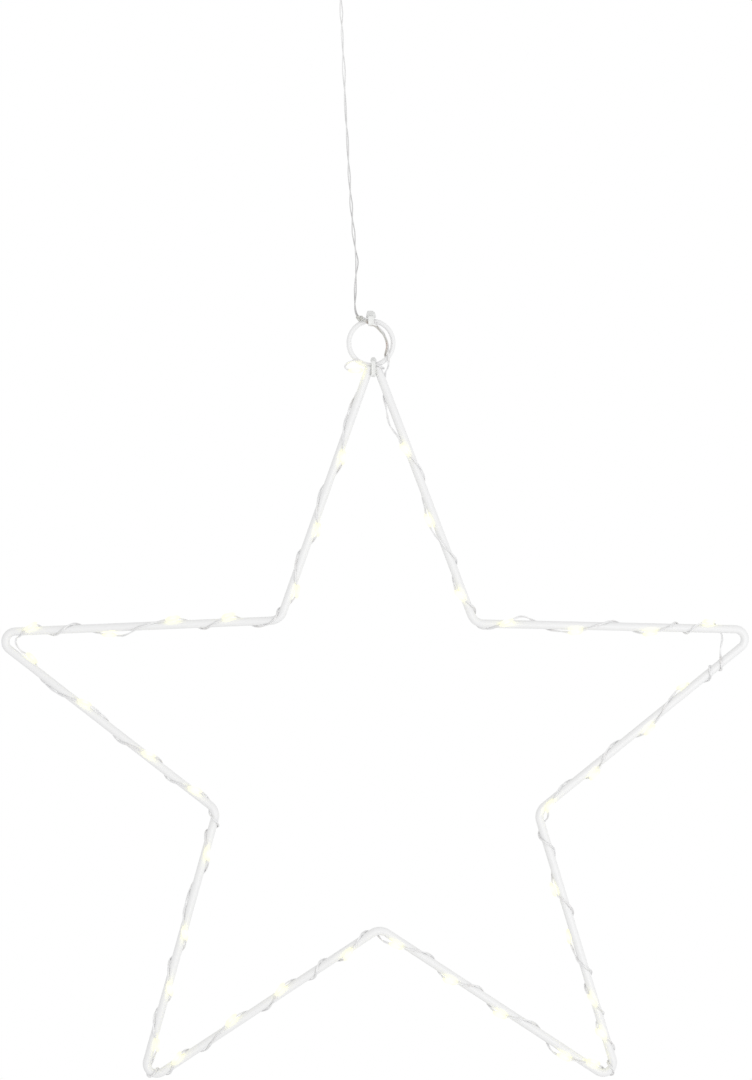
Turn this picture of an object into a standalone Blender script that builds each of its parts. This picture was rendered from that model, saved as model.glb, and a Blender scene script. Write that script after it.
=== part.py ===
"""A hanging wire star wound with a string of small lights, and the battery box that feeds it.

Units are metres. +Z is up and the star faces -Y. The origin is the top of the ring's hole,
where the star hangs. Angles round a wire are degrees: 0 points away from the star's middle,
90 to the front, 180 to the middle and 270 to the back.
"""

import math

import bmesh
import bpy
from mathutils import Matrix, Vector

# Shared clearances
GAP = 0.0003
OVERRUN = 0.002

# Star frame, one bent wire whose two ends meet under the ring
TIP_RADIUS = 0.1624
INNER_RADIUS = 0.0674
FRAME_WIRE = 0.0033
TIP_BEND = 0.004
INNER_BEND = 0.0055
STAR_SIDE = 0.0023
CORNERS = 10
CORNER_RADIUS_SHARES = (0.989, 0.989, 1.001, 1.005, 1.006, 1.008, 0.997, 0.997, 1.007, 1.001)
CORNER_ANGLES = (90.5, 54.1, 18.45, -18.45, -53.35, -89.0, -125.8, -161.9, 162.1, 125.0)
BEND_STEP_ANGLE = 18
FRAME_ROUND_COUNT = 4

# Ring, welded on the top tip
RING_HOLE = 0.0158
RING_WIRE = 0.0019
RING_SIDES = 36
RING_ROUND_COUNT = 2

# String of lights and its lead, a twisted pair of fine wires drawn as one round cord
STRING_WIRE = 0.00084
SLACK = 0.0016
LIGHT_LENGTH = 0.0044
LIGHT_WIDTH = 0.0027
LIGHT_END_WIDTH = 0.0021
LIGHT_STRAIGHT = 0.0049
LIGHT_SHOULDER_SHARE = 0.46
LIGHT_SIDES = 6
LIGHT_APPROACH = 0.0010
CHORD_SAG = 0.0002
LONGEST_STEP = 0.0044
CURVE_STEP = 0.0003
STRING_ROUND_COUNT = 1
LEAD_ROUND_COUNT = 2
APART_WIDTHS = 6
SEARCH_STEPS = 6
STRETCH_PARTS = 8

# Nylon ties
TIE_WIDTH = 0.0022
TIE_STRAP = 0.0008
TIE_HEAD_WIDTH = 0.0040
TIE_HEAD_HEIGHT = 0.0021
TIE_HEAD_DEPTH = 0.0030
TIE_CORNER = 0.00045
TIE_CORNER_STEPS = 3
LOWER_TIE_SIDE = 0.00099
LOWER_TIE_WIDTH = 0.0016
LOWER_TIE_STRAP = 0.0005
LOWER_TIE_HEAD_WIDTH = 0.0024
LOWER_TIE_HEAD_HEIGHT = 0.0014
LOWER_TIE_DROP = 0.0054

# Battery cells
CELL_DIAMETER = 0.0143
CELL_LENGTH = 0.0502
CELL_NUB = 0.0013
CELL_NUB_DIAMETER = 0.0055
CELL_EDGE = 0.0004
CELL_SPACING = 0.0006
CELL_COUNT = 3
CELL_SIDES = 20

# Battery box
BOX_SIDE = -0.0123
BOX_BOTTOM = 0.1385
BOX_WALL = 0.0015
BOX_SIDE_WALL = 0.0024
BOX_EDGE = 0.0007
BOX_EDGE_COUNT = 2
EDGE_ANGLE = 50
SMOOTH_ANGLE = 40
CELL_BED = 0.0005
SWITCH_BAY = 0.0105
WIRE_GAP_WIDTH = 0.0040
DOOR_TONGUE = 0.0010
DOOR_TONGUE_REACH = 0.0010
DOOR_LIP = 0.0010
GRIP_COUNT = 4
GRIP_WIDTH = 0.0007
GRIP_DEPTH = 0.0004
GRIP_PITCH = 0.0018
GRIP_LENGTH = 0.0180
GRIP_DROP = 0.0036
EYELET_WIDTH = 0.0110
EYELET_HEIGHT = 0.0080
EYELET_THICKNESS = 0.0022
EYELET_HOLE = 0.0042
EYELET_CORNER = 0.0037
EYELET_CORNER_STEPS = 4
EYELET_SIDES = 20

# Contacts
PLATE = 0.0005
PLATE_WIDTH = 0.0090
BOSS = 0.0014
BOSS_DIAMETER = 0.0060
BOSS_TOP = 0.0030
SPRING_HEIGHT = 0.0026
SPRING_FOOT = 0.0075
SPRING_TOP = 0.0045
BOSS_SIDES = 16

# Switch
KNOB_LENGTH = 0.0048
KNOB_WIDTH = 0.0040
KNOB_HEIGHT = 0.0015
KNOB_EDGE = 0.0005
STEM_LENGTH = 0.0024
STEM_WIDTH = 0.0014
FLANGE_LENGTH = 0.0036
FLANGE_WIDTH = 0.0026
FLANGE = 0.0006
SWITCH_TRAVEL = 0.0030
SWITCH_LENGTH = 0.0116
SWITCH_WIDTH = 0.0052
SWITCH_DEPTH = 0.0040

# Grommet
GROMMET_BODY = 0.0028
GROMMET_FLANGE = 0.0046
GROMMET_RIM = 0.0012
GROMMET_NOSE = 0.0018
GROMMET_NOSE_LENGTH = 0.0030
GROMMET_SIDES = 14

# Route of the winding. Each row is how the string lies there, the place along that leg of the
# frame as a share of its length from corner to corner, and the angle round the wire.
TIGHT, LOOSE, LIGHT = "tight", "loose", "light"
FIRST_RUN_SHARES = (
    (
        (TIGHT, 0.064, 350), (TIGHT, 0.090, 300), (TIGHT, 0.125, 245), (TIGHT, 0.165, 185),
        (LOOSE, 0.245, 180), (TIGHT, 0.295, 160), (LIGHT, 0.345, 122),
        (TIGHT, 0.385, 80), (TIGHT, 0.440, 5), (TIGHT, 0.495, 270), (TIGHT, 0.550, 195),
        (LIGHT, 0.605, 160), (LOOSE, 0.650, 140), (TIGHT, 0.715, 90), (TIGHT, 0.765, 10),
        (TIGHT, 0.800, 270), (TIGHT, 0.845, 190), (LIGHT, 0.890, 122), (TIGHT, 0.925, 75),
        (TIGHT, 0.950, 10), (TIGHT, 0.985, 280),
    ),
    (
        (TIGHT, 0.035, 185), (TIGHT, 0.070, 130), (LIGHT, 0.110, 75), (LOOSE, 0.160, 20),
        (TIGHT, 0.205, 320), (TIGHT, 0.270, 195), (LIGHT, 0.350, 145), (TIGHT, 0.420, 90),
        (TIGHT, 0.480, 0), (TIGHT, 0.525, 270), (TIGHT, 0.565, 195), (LIGHT, 0.610, 145),
        (TIGHT, 0.672, 90), (TIGHT, 0.696, 10), (TIGHT, 0.718, 270), (TIGHT, 0.737, 180),
        (TIGHT, 0.757, 90), (TIGHT, 0.782, 30), (LIGHT, 0.815, 8), (TIGHT, 0.844, 285),
        (TIGHT, 0.862, 200),
    ),
)
SECOND_RUN_SHARES = (
    (
        (TIGHT, 0.168, 180), (TIGHT, 0.187, 90), (TIGHT, 0.199, 0), (TIGHT, 0.210, 270),
        (TIGHT, 0.221, 180), (TIGHT, 0.233, 90), (TIGHT, 0.255, 0), (TIGHT, 0.290, 280),
        (LIGHT, 0.335, 218), (TIGHT, 0.390, 165), (TIGHT, 0.445, 90), (TIGHT, 0.475, 50),
        (LIGHT, 0.520, 30), (TIGHT, 0.560, 340), (TIGHT, 0.600, 265), (TIGHT, 0.655, 185),
        (TIGHT, 0.710, 90), (TIGHT, 0.733, 45), (LIGHT, 0.765, 22), (TIGHT, 0.805, 300),
        (TIGHT, 0.865, 190), (TIGHT, 0.915, 110), (LIGHT, 0.952, 70),
    ),
    (
        (LOOSE, 0.022, 8), (TIGHT, 0.050, 275), (TIGHT, 0.080, 190), (TIGHT, 0.110, 95),
        (TIGHT, 0.142, 5), (TIGHT, 0.190, 275), (TIGHT, 0.235, 210), (LIGHT, 0.275, 175),
        (TIGHT, 0.322, 90), (TIGHT, 0.365, 5), (TIGHT, 0.405, 270), (LIGHT, 0.450, 215),
        (TIGHT, 0.515, 180), (TIGHT, 0.560, 95), (TIGHT, 0.587, 5), (TIGHT, 0.610, 270),
        (TIGHT, 0.638, 180), (LIGHT, 0.680, 108), (TIGHT, 0.715, 70), (TIGHT, 0.738, 5),
        (TIGHT, 0.753, 275), (TIGHT, 0.770, 190), (LIGHT, 0.802, 122), (TIGHT, 0.838, 50),
        (TIGHT, 0.862, 0), (TIGHT, 0.890, 275), (TIGHT, 0.922, 200), (TIGHT, 0.960, 95),
    ),
    (
        (TIGHT, 0.000, 0), (TIGHT, 0.030, 280), (TIGHT, 0.055, 205), (TIGHT, 0.092, 165), (LIGHT, 0.128, 145),
        (TIGHT, 0.165, 75), (LIGHT, 0.222, 32), (LOOSE, 0.262, 5), (TIGHT, 0.305, 300),
        (TIGHT, 0.365, 190), (TIGHT, 0.435, 90), (LIGHT, 0.488, 32), (TIGHT, 0.530, 350),
        (TIGHT, 0.562, 270), (TIGHT, 0.602, 185), (TIGHT, 0.640, 95), (LIGHT, 0.698, 45),
        (TIGHT, 0.738, 345), (TIGHT, 0.765, 270), (TIGHT, 0.805, 185), (TIGHT, 0.870, 90),
        (LIGHT, 0.922, 45), (LOOSE, 0.985, 5),
    ),
    (
        (TIGHT, 0.022, 280), (TIGHT, 0.055, 190), (TIGHT, 0.092, 100), (LIGHT, 0.140, 58),
        (TIGHT, 0.178, 345), (TIGHT, 0.202, 270), (TIGHT, 0.232, 190), (TIGHT, 0.262, 90),
        (TIGHT, 0.288, 10), (TIGHT, 0.325, 275), (TIGHT, 0.365, 195), (LIGHT, 0.405, 132),
        (TIGHT, 0.442, 80), (TIGHT, 0.480, 5), (TIGHT, 0.530, 270), (TIGHT, 0.568, 200),
        (LIGHT, 0.605, 148), (TIGHT, 0.688, 85), (TIGHT, 0.740, 5), (TIGHT, 0.775, 270),
        (TIGHT, 0.800, 195), (LIGHT, 0.835, 125), (TIGHT, 0.868, 70), (TIGHT, 0.892, 0),
        (TIGHT, 0.918, 275), (TIGHT, 0.945, 190), (TIGHT, 0.970, 95),
    ),
    (
        (TIGHT, 0.000, 0), (TIGHT, 0.030, 275), (TIGHT, 0.065, 200), (TIGHT, 0.115, 180),
        (LIGHT, 0.160, 145), (TIGHT, 0.200, 80), (TIGHT, 0.260, 5), (TIGHT, 0.295, 270),
        (TIGHT, 0.325, 190), (LIGHT, 0.362, 112), (TIGHT, 0.405, 60), (TIGHT, 0.450, 0),
        (TIGHT, 0.480, 270), (TIGHT, 0.515, 190), (LIGHT, 0.562, 108), (TIGHT, 0.608, 50),
        (TIGHT, 0.660, 5), (TIGHT, 0.720, 335), (TIGHT, 0.755, 265), (TIGHT, 0.795, 190),
        (LIGHT, 0.848, 112), (TIGHT, 0.888, 60), (TIGHT, 0.918, 0), (TIGHT, 0.935, 270),
        (TIGHT, 0.950, 185), (TIGHT, 0.968, 95),
    ),
    (
        (TIGHT, 0.000, 0), (TIGHT, 0.030, 275), (TIGHT, 0.062, 190), (LIGHT, 0.105, 120),
        (TIGHT, 0.155, 80), (TIGHT, 0.200, 5), (TIGHT, 0.235, 270), (TIGHT, 0.265, 190),
        (LIGHT, 0.305, 118), (TIGHT, 0.365, 85), (TIGHT, 0.420, 5), (TIGHT, 0.465, 270),
        (TIGHT, 0.515, 190), (LIGHT, 0.588, 132), (TIGHT, 0.640, 80), (TIGHT, 0.700, 5),
        (TIGHT, 0.755, 330), (TIGHT, 0.785, 260), (LIGHT, 0.828, 205), (TIGHT, 0.868, 182),
    ),
)
THIRD_RUN_SHARES = (
    (
        (TIGHT, 0.105, 178), (TIGHT, 0.120, 115), (LIGHT, 0.150, 50), (TIGHT, 0.176, 335),
        (TIGHT, 0.190, 265), (TIGHT, 0.222, 190), (TIGHT, 0.260, 90), (TIGHT, 0.295, 5),
        (TIGHT, 0.335, 270), (TIGHT, 0.370, 215), (LIGHT, 0.415, 192), (LOOSE, 0.460, 170),
        (TIGHT, 0.530, 90), (TIGHT, 0.580, 48), (LIGHT, 0.635, 30), (TIGHT, 0.672, 330),
        (TIGHT, 0.700, 265), (TIGHT, 0.735, 190), (TIGHT, 0.780, 85), (LIGHT, 0.825, 22),
        (TIGHT, 0.868, 300), (TIGHT, 0.910, 210), (TIGHT, 0.960, 130),
    ),
    (
        (TIGHT, 0.000, 60), (TIGHT, 0.030, 0), (TIGHT, 0.055, 270), (TIGHT, 0.080, 205),
        (LIGHT, 0.118, 158), (TIGHT, 0.170, 85), (TIGHT, 0.240, 0), (TIGHT, 0.282, 270),
        (TIGHT, 0.312, 200), (LIGHT, 0.352, 148), (TIGHT, 0.405, 80), (TIGHT, 0.485, 0),
        (TIGHT, 0.532, 270), (TIGHT, 0.578, 195), (LIGHT, 0.625, 138), (TIGHT, 0.685, 85),
        (TIGHT, 0.755, 10), (TIGHT, 0.820, 345), (TIGHT, 0.870, 300), (TIGHT, 0.915, 268),
    ),
)

# Free stretches of the string, x, y and z in metres from the origin. Those that cross a tip are
# from its corner, as shares of the tips' radius.
START_ROUTE = (
    (-0.0036, -0.0017, 0.0021), (-0.0023, -0.0017, 0.0019), (-0.0011, -0.0017, 0.0015),
    (0.0002, -0.0017, 0.0010), (0.0013, -0.0016, 0.0004), (0.0024, -0.0014, -0.0008),
    (0.0035, -0.0012, -0.0021), (0.0047, -0.0010, -0.0035), (0.0057, -0.0010, -0.0051),
    (0.0064, -0.0010, -0.0070), (0.0068, -0.0011, -0.0091), (0.0069, -0.0014, -0.0111),
    (0.0069, -0.0018, -0.0130), (0.0071, -0.0020, -0.0148), (0.0072, -0.0020, -0.0164),
    (0.0069, -0.0015, -0.0178), (0.0064, -0.0006, -0.0187),
)
RIGHT_TIP_SHARES = (
    (-0.0961, 0.0025, -0.0191), (-0.0985, 0.0018, -0.0308), (-0.1034, 0.0012, -0.0431),
    (-0.1053, 0.0006, -0.0542),
)
LEFT_TIP_SHARES = (
    (0.0751, 0.0006, -0.0363), (0.0671, 0.0000, -0.0277), (0.0647, 0.0000, -0.0185),
    (0.0696, 0.0006, -0.0111),
)
END_ROUTE = (
    (-0.0016, 0.0026, -0.0207), (-0.0012, 0.0025, -0.0195), (-0.0008, 0.0024, -0.0184),
    (-0.0002, 0.0021, -0.0174), (0.0004, 0.0017, -0.0169), (0.0011, 0.0016, -0.0168),
    (0.0018, 0.0017, -0.0168), (0.0028, 0.0022, -0.0171), (0.0039, 0.0024, -0.0177),
    (0.0049, 0.0016, -0.0180),
    (0.0053, 0.0003, -0.0181), (0.0051, -0.0010, -0.0180), (0.0044, -0.0021, -0.0177),
    (0.0034, -0.0023, -0.0171), (0.0023, -0.0018, -0.0167), (0.0011, -0.0017, -0.0166),
    (-0.0004, -0.0017, -0.0166), (-0.0020, -0.0018, -0.0160), (-0.0038, -0.0018, -0.0151),
    (-0.0056, -0.0018, -0.0147), (-0.0076, -0.0015, -0.0150), (-0.0094, -0.0012, -0.0158),
    (-0.0107, -0.0012, -0.0166), (-0.0113, -0.0014, -0.0177), (-0.0108, -0.0017, -0.0187),
    (-0.0096, -0.0020, -0.0190),
)
END_LIGHT = (-0.0061, -0.0021, -0.0190)
END_WAY = (1.0, 0.0, 0.03)

# Lead, from the battery box down to the ring
LEAD_ROUTE = (
    (-0.0123, 0.0000, 0.1380), (-0.0123, 0.0000, 0.1340), (-0.0120, 0.0000, 0.1280),
    (-0.0116, 0.0000, 0.1180), (-0.0111, 0.0000, 0.1073), (-0.0106, 0.0000, 0.0955),
    (-0.0101, 0.0000, 0.0837), (-0.0095, -0.0001, 0.0749), (-0.0089, -0.0002, 0.0661),
    (-0.0082, -0.0003, 0.0559), (-0.0076, -0.0004, 0.0457), (-0.0070, -0.0005, 0.0375),
    (-0.0063, -0.0006, 0.0300), (-0.0057, -0.0007, 0.0247), (-0.0061, -0.0009, 0.0203),
    (-0.0065, -0.0010, 0.0160), (-0.0067, -0.0012, 0.0110), (-0.0068, -0.0014, 0.0066),
    (-0.0061, -0.0016, 0.0036), (-0.0050, -0.0017, 0.0024), (-0.0040, -0.0017, 0.0021),
)
LEAD_STEP = 0.0021


def star_sizes():
    """Corners, leg ends and middle of the star, in x and z."""
    points = []
    for number in range(CORNERS):
        radius = INNER_RADIUS if number % 2 else TIP_RADIUS
        angle = math.radians(CORNER_ANGLES[number])
        reach = radius * CORNER_RADIUS_SHARES[number]
        points.append(Vector((STAR_SIDE + reach * math.cos(angle), reach * math.sin(angle))))
    ways = [(points[other] - points[0]).normalized() for other in (1, -1)]
    trim = (FRAME_WIRE + GAP) / (ways[0] - ways[1]).length
    seat = RING_HOLE / 2 + RING_WIRE + GAP
    drop = 0
    for way in ways:
        end = points[0] + trim * way
        lean = Vector((end.x, -seat)).normalized()
        reach = seat + FRAME_WIRE / 2 * abs(lean.cross(way))
        drop = max(drop, end.y + RING_HOLE / 2 + math.sqrt(reach**2 - end.x**2))
    return [point - Vector((0, drop)) for point in points], trim


STAR, END_TRIM = star_sizes()
RING_CENTRE = Vector((0, -RING_HOLE / 2))


def turned_by(way, angle):
    return Matrix.Rotation(angle, 2) @ way


def bend_at(corner):
    """Where the bend starts before its corner, the turn it makes and its radius."""
    way_in = (STAR[corner] - STAR[corner - 1]).normalized()
    way_out = (STAR[(corner + 1) % CORNERS] - STAR[corner]).normalized()
    turn = math.atan2(way_in.x * way_out.y - way_in.y * way_out.x, way_in.dot(way_out))
    radius = INNER_BEND if corner % 2 else TIP_BEND
    return radius * math.tan(abs(turn) / 2), turn, radius, way_in


def frame_at(place):
    """Middle of the frame wire and its way along: place 2.25 is a quarter of the way along leg 2."""
    corner = round(place) % CORNERS
    share = place - round(place)
    other = STAR[corner - 1] if share < 0 else STAR[(corner + 1) % CORNERS]
    leg = (other - STAR[corner]) * (-1 if share < 0 else 1)
    along = share * leg.length
    reach, turn, radius, way_in = bend_at(corner)
    if corner == 0 or abs(along) >= reach:
        return STAR[corner] + leg.normalized() * along, leg.normalized()
    part = (1 + along / reach) / 2
    side = turned_by(way_in, math.copysign(math.pi / 2, turn)) * radius
    middle = STAR[corner] - way_in * reach + side
    return middle - turned_by(side, turn * part), turned_by(way_in, turn * part)


def wound_at(place, angle, stand_off):
    """Middle of the string where it lies round the frame wire."""
    middle, way = frame_at(place)
    out = turned_by(way, math.pi / 2) * math.cos(math.radians(angle)) * stand_off
    front = math.sin(math.radians(angle)) * stand_off
    return Vector((middle.x + out.x, -front, middle.y + out.y))


def eased(places, values, place):
    """The value at a place, on a smooth curve that never swings past its neighbours."""
    after = next((n for n, known in enumerate(places) if known > place), len(places) - 1)
    after = max(after, 1)

    def slope(number):
        return (values[number + 1] - values[number]) / (places[number + 1] - places[number])

    def lean(number):
        if number in (0, len(places) - 1):
            return slope(min(number, len(places) - 2))
        left, right = slope(number - 1), slope(number)
        return 2 * left * right / (left + right) if left * right > 0 else 0

    start, span = places[after - 1], places[after] - places[after - 1]
    part = (place - start) / span
    curve = values[after - 1] * (1 + 2 * part) * (1 - part) ** 2
    curve += values[after] * (3 - 2 * part) * part**2
    curve += span * lean(after - 1) * part * (1 - part) ** 2
    return curve - span * lean(after) * (1 - part) * part**2


def stand_offs():
    """How far the string's middle lies from the frame wire's, for each way of lying."""
    touch = FRAME_WIRE / 2 + GAP
    tight = touch + STRING_WIRE / 2 + CHORD_SAG
    return {TIGHT: tight, LOOSE: tight + SLACK, LIGHT: touch + LIGHT_WIDTH / 2}


def wound_run(first_leg, shares):
    """Fine points of one wound run, and for each light its point's number and its way out."""
    reach = stand_offs()
    rows = [
        (first_leg + leg + share, kind, angle)
        for leg, leg_rows in enumerate(shares)
        for kind, share, angle in leg_rows
    ]
    angles = [rows[0][2]]
    for _, _, angle in rows[1:]:
        while angle > angles[-1]:
            angle -= 360
        angles.append(angle)
    places = [row[0] for row in rows]
    offs = [reach[row[1]] for row in rows]
    leg_length = (STAR[1] - STAR[0]).length
    points, lights = [], []
    for number, row in enumerate(rows):
        if row[1] == LIGHT:
            middle, _ = frame_at(places[number])
            out = wound_at(places[number], angles[number], 1) - Vector((middle.x, 0, middle.y))
            lights.append((len(points), out))
        if number == len(rows) - 1:
            steps = [places[-1]]
        else:
            count = math.ceil((places[number + 1] - places[number]) * leg_length / CURVE_STEP)
            width = places[number + 1] - places[number]
            steps = [places[number] + width * step / count for step in range(count)]
        for place in steps:
            points.append(wound_at(place, eased(places, angles, place), eased(places, offs, place)))
    return points, lights


def curved(points, step):
    """Points read a step apart from a smooth curve through the given ones."""
    known = [Vector(point) for point in points]
    known = [known[0] * 2 - known[1], *known, known[-1] * 2 - known[-2]]
    read = []
    for before, start, end, after in zip(known, known[1:], known[2:], known[3:]):
        count = max(math.ceil((end - start).length / step), 1)
        for number in range(count):
            part = number / count
            lean_in, lean_out = (end - before) / 2, (after - start) / 2
            point = start * (1 + 2 * part) * (1 - part) ** 2 + end * (3 - 2 * part) * part**2
            read.append(point + lean_in * part * (1 - part) ** 2 - lean_out * (1 - part) * part**2)
    return [*read, known[-2]]


def tip_route(corner, shares):
    """A free stretch of the string that crosses the inside of a tip."""
    tip = Vector((STAR[corner].x, 0, STAR[corner].y))
    return [tip + Vector(share) * TIP_RADIUS for share in shares]


def string_route():
    """Corner points of the string's tube, and the middle and way of each light on it."""
    runs, links, corner = [], [START_ROUTE], 0
    for shares in (FIRST_RUN_SHARES, SECOND_RUN_SHARES, THIRD_RUN_SHARES):
        runs.append(wound_run(corner, shares))
        corner += len(shares)
        if shares is FIRST_RUN_SHARES:
            links.append(tip_route(corner, RIGHT_TIP_SHARES))
        if shares is SECOND_RUN_SHARES:
            links.append(tip_route(corner, LEFT_TIP_SHARES))
    links.append(END_ROUTE)
    look = round(STRING_WIRE / CURVE_STEP)
    fine, lights = [], []
    for number, link in enumerate(links):
        stretch = [Vector(point) for point in link]
        if number > 0:
            tail = runs[number - 1][0]
            stretch = [tail[-1 - look], tail[-1], *stretch]
        if number < len(runs):
            head = runs[number][0]
            stretch = [*stretch, head[0], head[look]]
        read = curved(stretch, CURVE_STEP)
        if number > 0:
            back = tail[-1 - look]
            read = [point for point in read if (point - back).length > (tail[-1] - back).length]
        if number < len(runs):
            nearest = min((point - head[0]).length for point in read)
            read = read[: next(n for n, p in enumerate(read) if (p - head[0]).length == nearest)]
        fine += read
        if number < len(runs):
            lights += [(len(fine) + light, out) for light, out in runs[number][1]]
            fine += runs[number][0]
    path, fixed, seats = seated(fine, lights)
    return thinned(path, fixed), seats


def seated(fine, lights):
    """The fine points with a straight stretch through each light, and each light's middle and way."""
    half = LIGHT_STRAIGHT / 2
    side = round(half / CURVE_STEP)
    clear = half + LIGHT_APPROACH
    seats = []
    for number, out in lights:
        way = fine[number + side] - fine[number - side]
        seats.append((number, fine[number], (way - out * way.dot(out)).normalized()))
    seats.append((len(fine), Vector(END_LIGHT), Vector(END_WAY).normalized()))
    path, fixed, start = [], [], 0
    for number, middle, way in seats:
        first = last = number
        while first > start and (fine[first - 1] - middle).length < clear:
            first -= 1
        while last < len(fine) and (fine[last] - middle).length < clear:
            last += 1
        path += [*fine[start:first], middle - way * half, middle + way * half]
        fixed += [*[False] * (first - start), True, True]
        start = last
    path += fine[start:]
    fixed += [False] * (len(fine) - start)
    return path, fixed, [seat[1:] for seat in seats]


def thinned(path, fixed):
    """The points of a path that a tube needs, so that no chord strays from it by over the sag."""
    corners, last = [path[0]], 0
    for number in range(1, len(path)):
        after = min(number + 1, len(path) - 1)
        chord = path[after] - path[last]
        between = [path[other] - path[last] for other in range(last + 1, after)]
        way = chord.normalized()
        strays = any((point - way * point.dot(way)).length > CHORD_SAG for point in between)
        if fixed[number] or strays or chord.length > LONGEST_STEP or number == len(path) - 1:
            corners.append(path[number])
            last = number
    return corners


def least_gap(points):
    """Least gap between two stretches of the string that lie well apart along it."""
    travelled = [0.0]
    for start, end in zip(points, points[1:]):
        travelled.append(travelled[-1] + (end - start).length)
    apart = STRING_WIRE * APART_WIDTHS
    best = math.inf
    for one in range(len(points) - 1):
        for two in range(one + 2, len(points) - 1):
            if travelled[two] - travelled[one + 1] < apart:
                continue
            if (points[two] - points[one]).length > LONGEST_STEP * SEARCH_STEPS:
                continue
            best = min(best, stretch_distance(points[one : one + 2], points[two : two + 2]))
    return best - STRING_WIRE


def stretch_distance(one, two):
    """Distance between two straight stretches, each given by its ends."""
    places = [number / STRETCH_PARTS for number in range(STRETCH_PARTS + 1)]
    return min(
        (one[0].lerp(one[1], a) - two[0].lerp(two[1], b)).length for a in places for b in places
    )


def clear_scene():
    for thing in list(bpy.data.objects):
        bpy.data.objects.remove(thing, do_unlink=True)


def finish(name, colour, roughness, metallic=0.0):
    made = bpy.data.materials.new(name)
    made.use_nodes = True
    shader = made.node_tree.nodes["Principled BSDF"]
    shader.inputs["Base Color"].default_value = (*colour, 1.0)
    shader.inputs["Roughness"].default_value = roughness
    shader.inputs["Metallic"].default_value = metallic
    return made


def placed(name, data, material):
    thing = bpy.data.objects.new(name, data)
    bpy.context.scene.collection.objects.link(thing)
    if not data.materials:
        data.materials.append(material)
    return thing


def mesh_from(shape, name, smooth=False):
    """A mesh from a bmesh, its faces turned outwards."""
    bmesh.ops.recalc_face_normals(shape, faces=shape.faces)
    mesh = bpy.data.meshes.new(name)
    shape.to_mesh(mesh)
    shape.free()
    if smooth:
        mesh.shade_smooth()
        mesh.set_sharp_from_angle(angle=math.radians(SMOOTH_ANGLE))
    return mesh


def tube(name, points, width, resolution, material, ring=False):
    """A round wire or cord through the points."""
    curve = bpy.data.curves.new(name, "CURVE")
    curve.dimensions = "3D"
    curve.bevel_depth = width / 2
    curve.bevel_resolution = resolution
    curve.use_fill_caps = not ring
    line = curve.splines.new("POLY")
    line.points.add(len(points) - 1)
    for spot, point in zip(line.points, points):
        spot.co = (*point, 1.0)
    line.use_cyclic_u = ring
    line.use_smooth = True
    return placed(name, curve, material)


def turned(name, rings, sides, material, bored=False):
    """A round piece about its own Z from (radius, height) rings; a bored one closes on itself."""
    shape = bmesh.new()
    loops = []
    for radius, height in rings:
        angles = [math.tau * number / sides for number in range(sides)]
        loops.append(
            [shape.verts.new((radius * math.cos(a), radius * math.sin(a), height)) for a in angles]
        )
    pairs = list(zip(loops, loops[1:]))
    if bored:
        pairs.append((loops[-1], loops[0]))
    else:
        shape.faces.new(loops[0])
        shape.faces.new(loops[-1])
    for low, high in pairs:
        for number in range(sides):
            after = (number + 1) % sides
            shape.faces.new((low[number], low[after], high[after], high[number]))
    return placed(name, mesh_from(shape, name, smooth=True), material)


def block_shape(shape, low, high):
    """Adds a box between two corners to a bmesh."""
    made = bmesh.ops.create_cube(shape, size=1)
    size = Vector(high) - Vector(low)
    bmesh.ops.scale(shape, vec=size, verts=made["verts"])
    bmesh.ops.translate(shape, vec=(Vector(low) + Vector(high)) / 2, verts=made["verts"])
    return made["verts"]


def block(name, low, high, material):
    shape = bmesh.new()
    block_shape(shape, low, high)
    return placed(name, mesh_from(shape, name), material)


def boxes(name, corners, material):
    """Several separate boxes in one object, used as a cutter."""
    shape = bmesh.new()
    for low, high in corners:
        block_shape(shape, low, high)
    return placed(name, mesh_from(shape, name), material)


def extruded(name, outline, low, high, axis, material):
    """An outline drawn in the two other axes, carried along one axis between two heights."""
    shape = bmesh.new()
    ends = []
    for height in (low, high):
        row = []
        for first, second in outline:
            point = [first, second]
            point.insert(axis, height)
            row.append(shape.verts.new(point))
        ends.append(row)
    for row in ends:
        shape.faces.new(row)
    count = len(outline)
    for number in range(count):
        after = (number + 1) % count
        shape.faces.new((ends[0][number], ends[0][after], ends[1][after], ends[1][number]))
    return placed(name, mesh_from(shape, name), material)


def stepped(name, levels, centre, material):
    """A solid of stacked rectangles along Y: each level is its y, half length and half width."""
    shape = bmesh.new()
    rows = []
    for depth, length, width in levels:
        signs = ((-1, -1), (1, -1), (1, 1), (-1, 1))
        rows.append(
            [
                shape.verts.new((centre[0] + length * x, depth, centre[1] + width * z))
                for x, z in signs
            ]
        )
    shape.faces.new(rows[0])
    shape.faces.new(rows[-1])
    for low, high in zip(rows, rows[1:]):
        for number in range(len(low)):
            after = (number + 1) % len(low)
            shape.faces.new((low[number], low[after], high[after], high[number]))
    return placed(name, mesh_from(shape, name), material)


def combined(thing, other, operation):
    """Cuts the other object from this one, or joins it on, and hides the other."""
    change = thing.modifiers.new(other.name, "BOOLEAN")
    change.operation = operation
    change.solver = "EXACT"
    change.object = other
    other.hide_render = True
    other.display_type = "WIRE"


def softened(thing, width, steps):
    edge = thing.modifiers.new("edge", "BEVEL")
    edge.width = width
    edge.segments = steps
    edge.limit_method = "ANGLE"
    edge.angle_limit = math.radians(EDGE_ANGLE)


def based(thing, origin):
    """Moves a piece's origin, and leaves the piece where it is."""
    thing.data.transform(Matrix.Translation(-Vector(origin)))
    thing.location = origin


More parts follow.
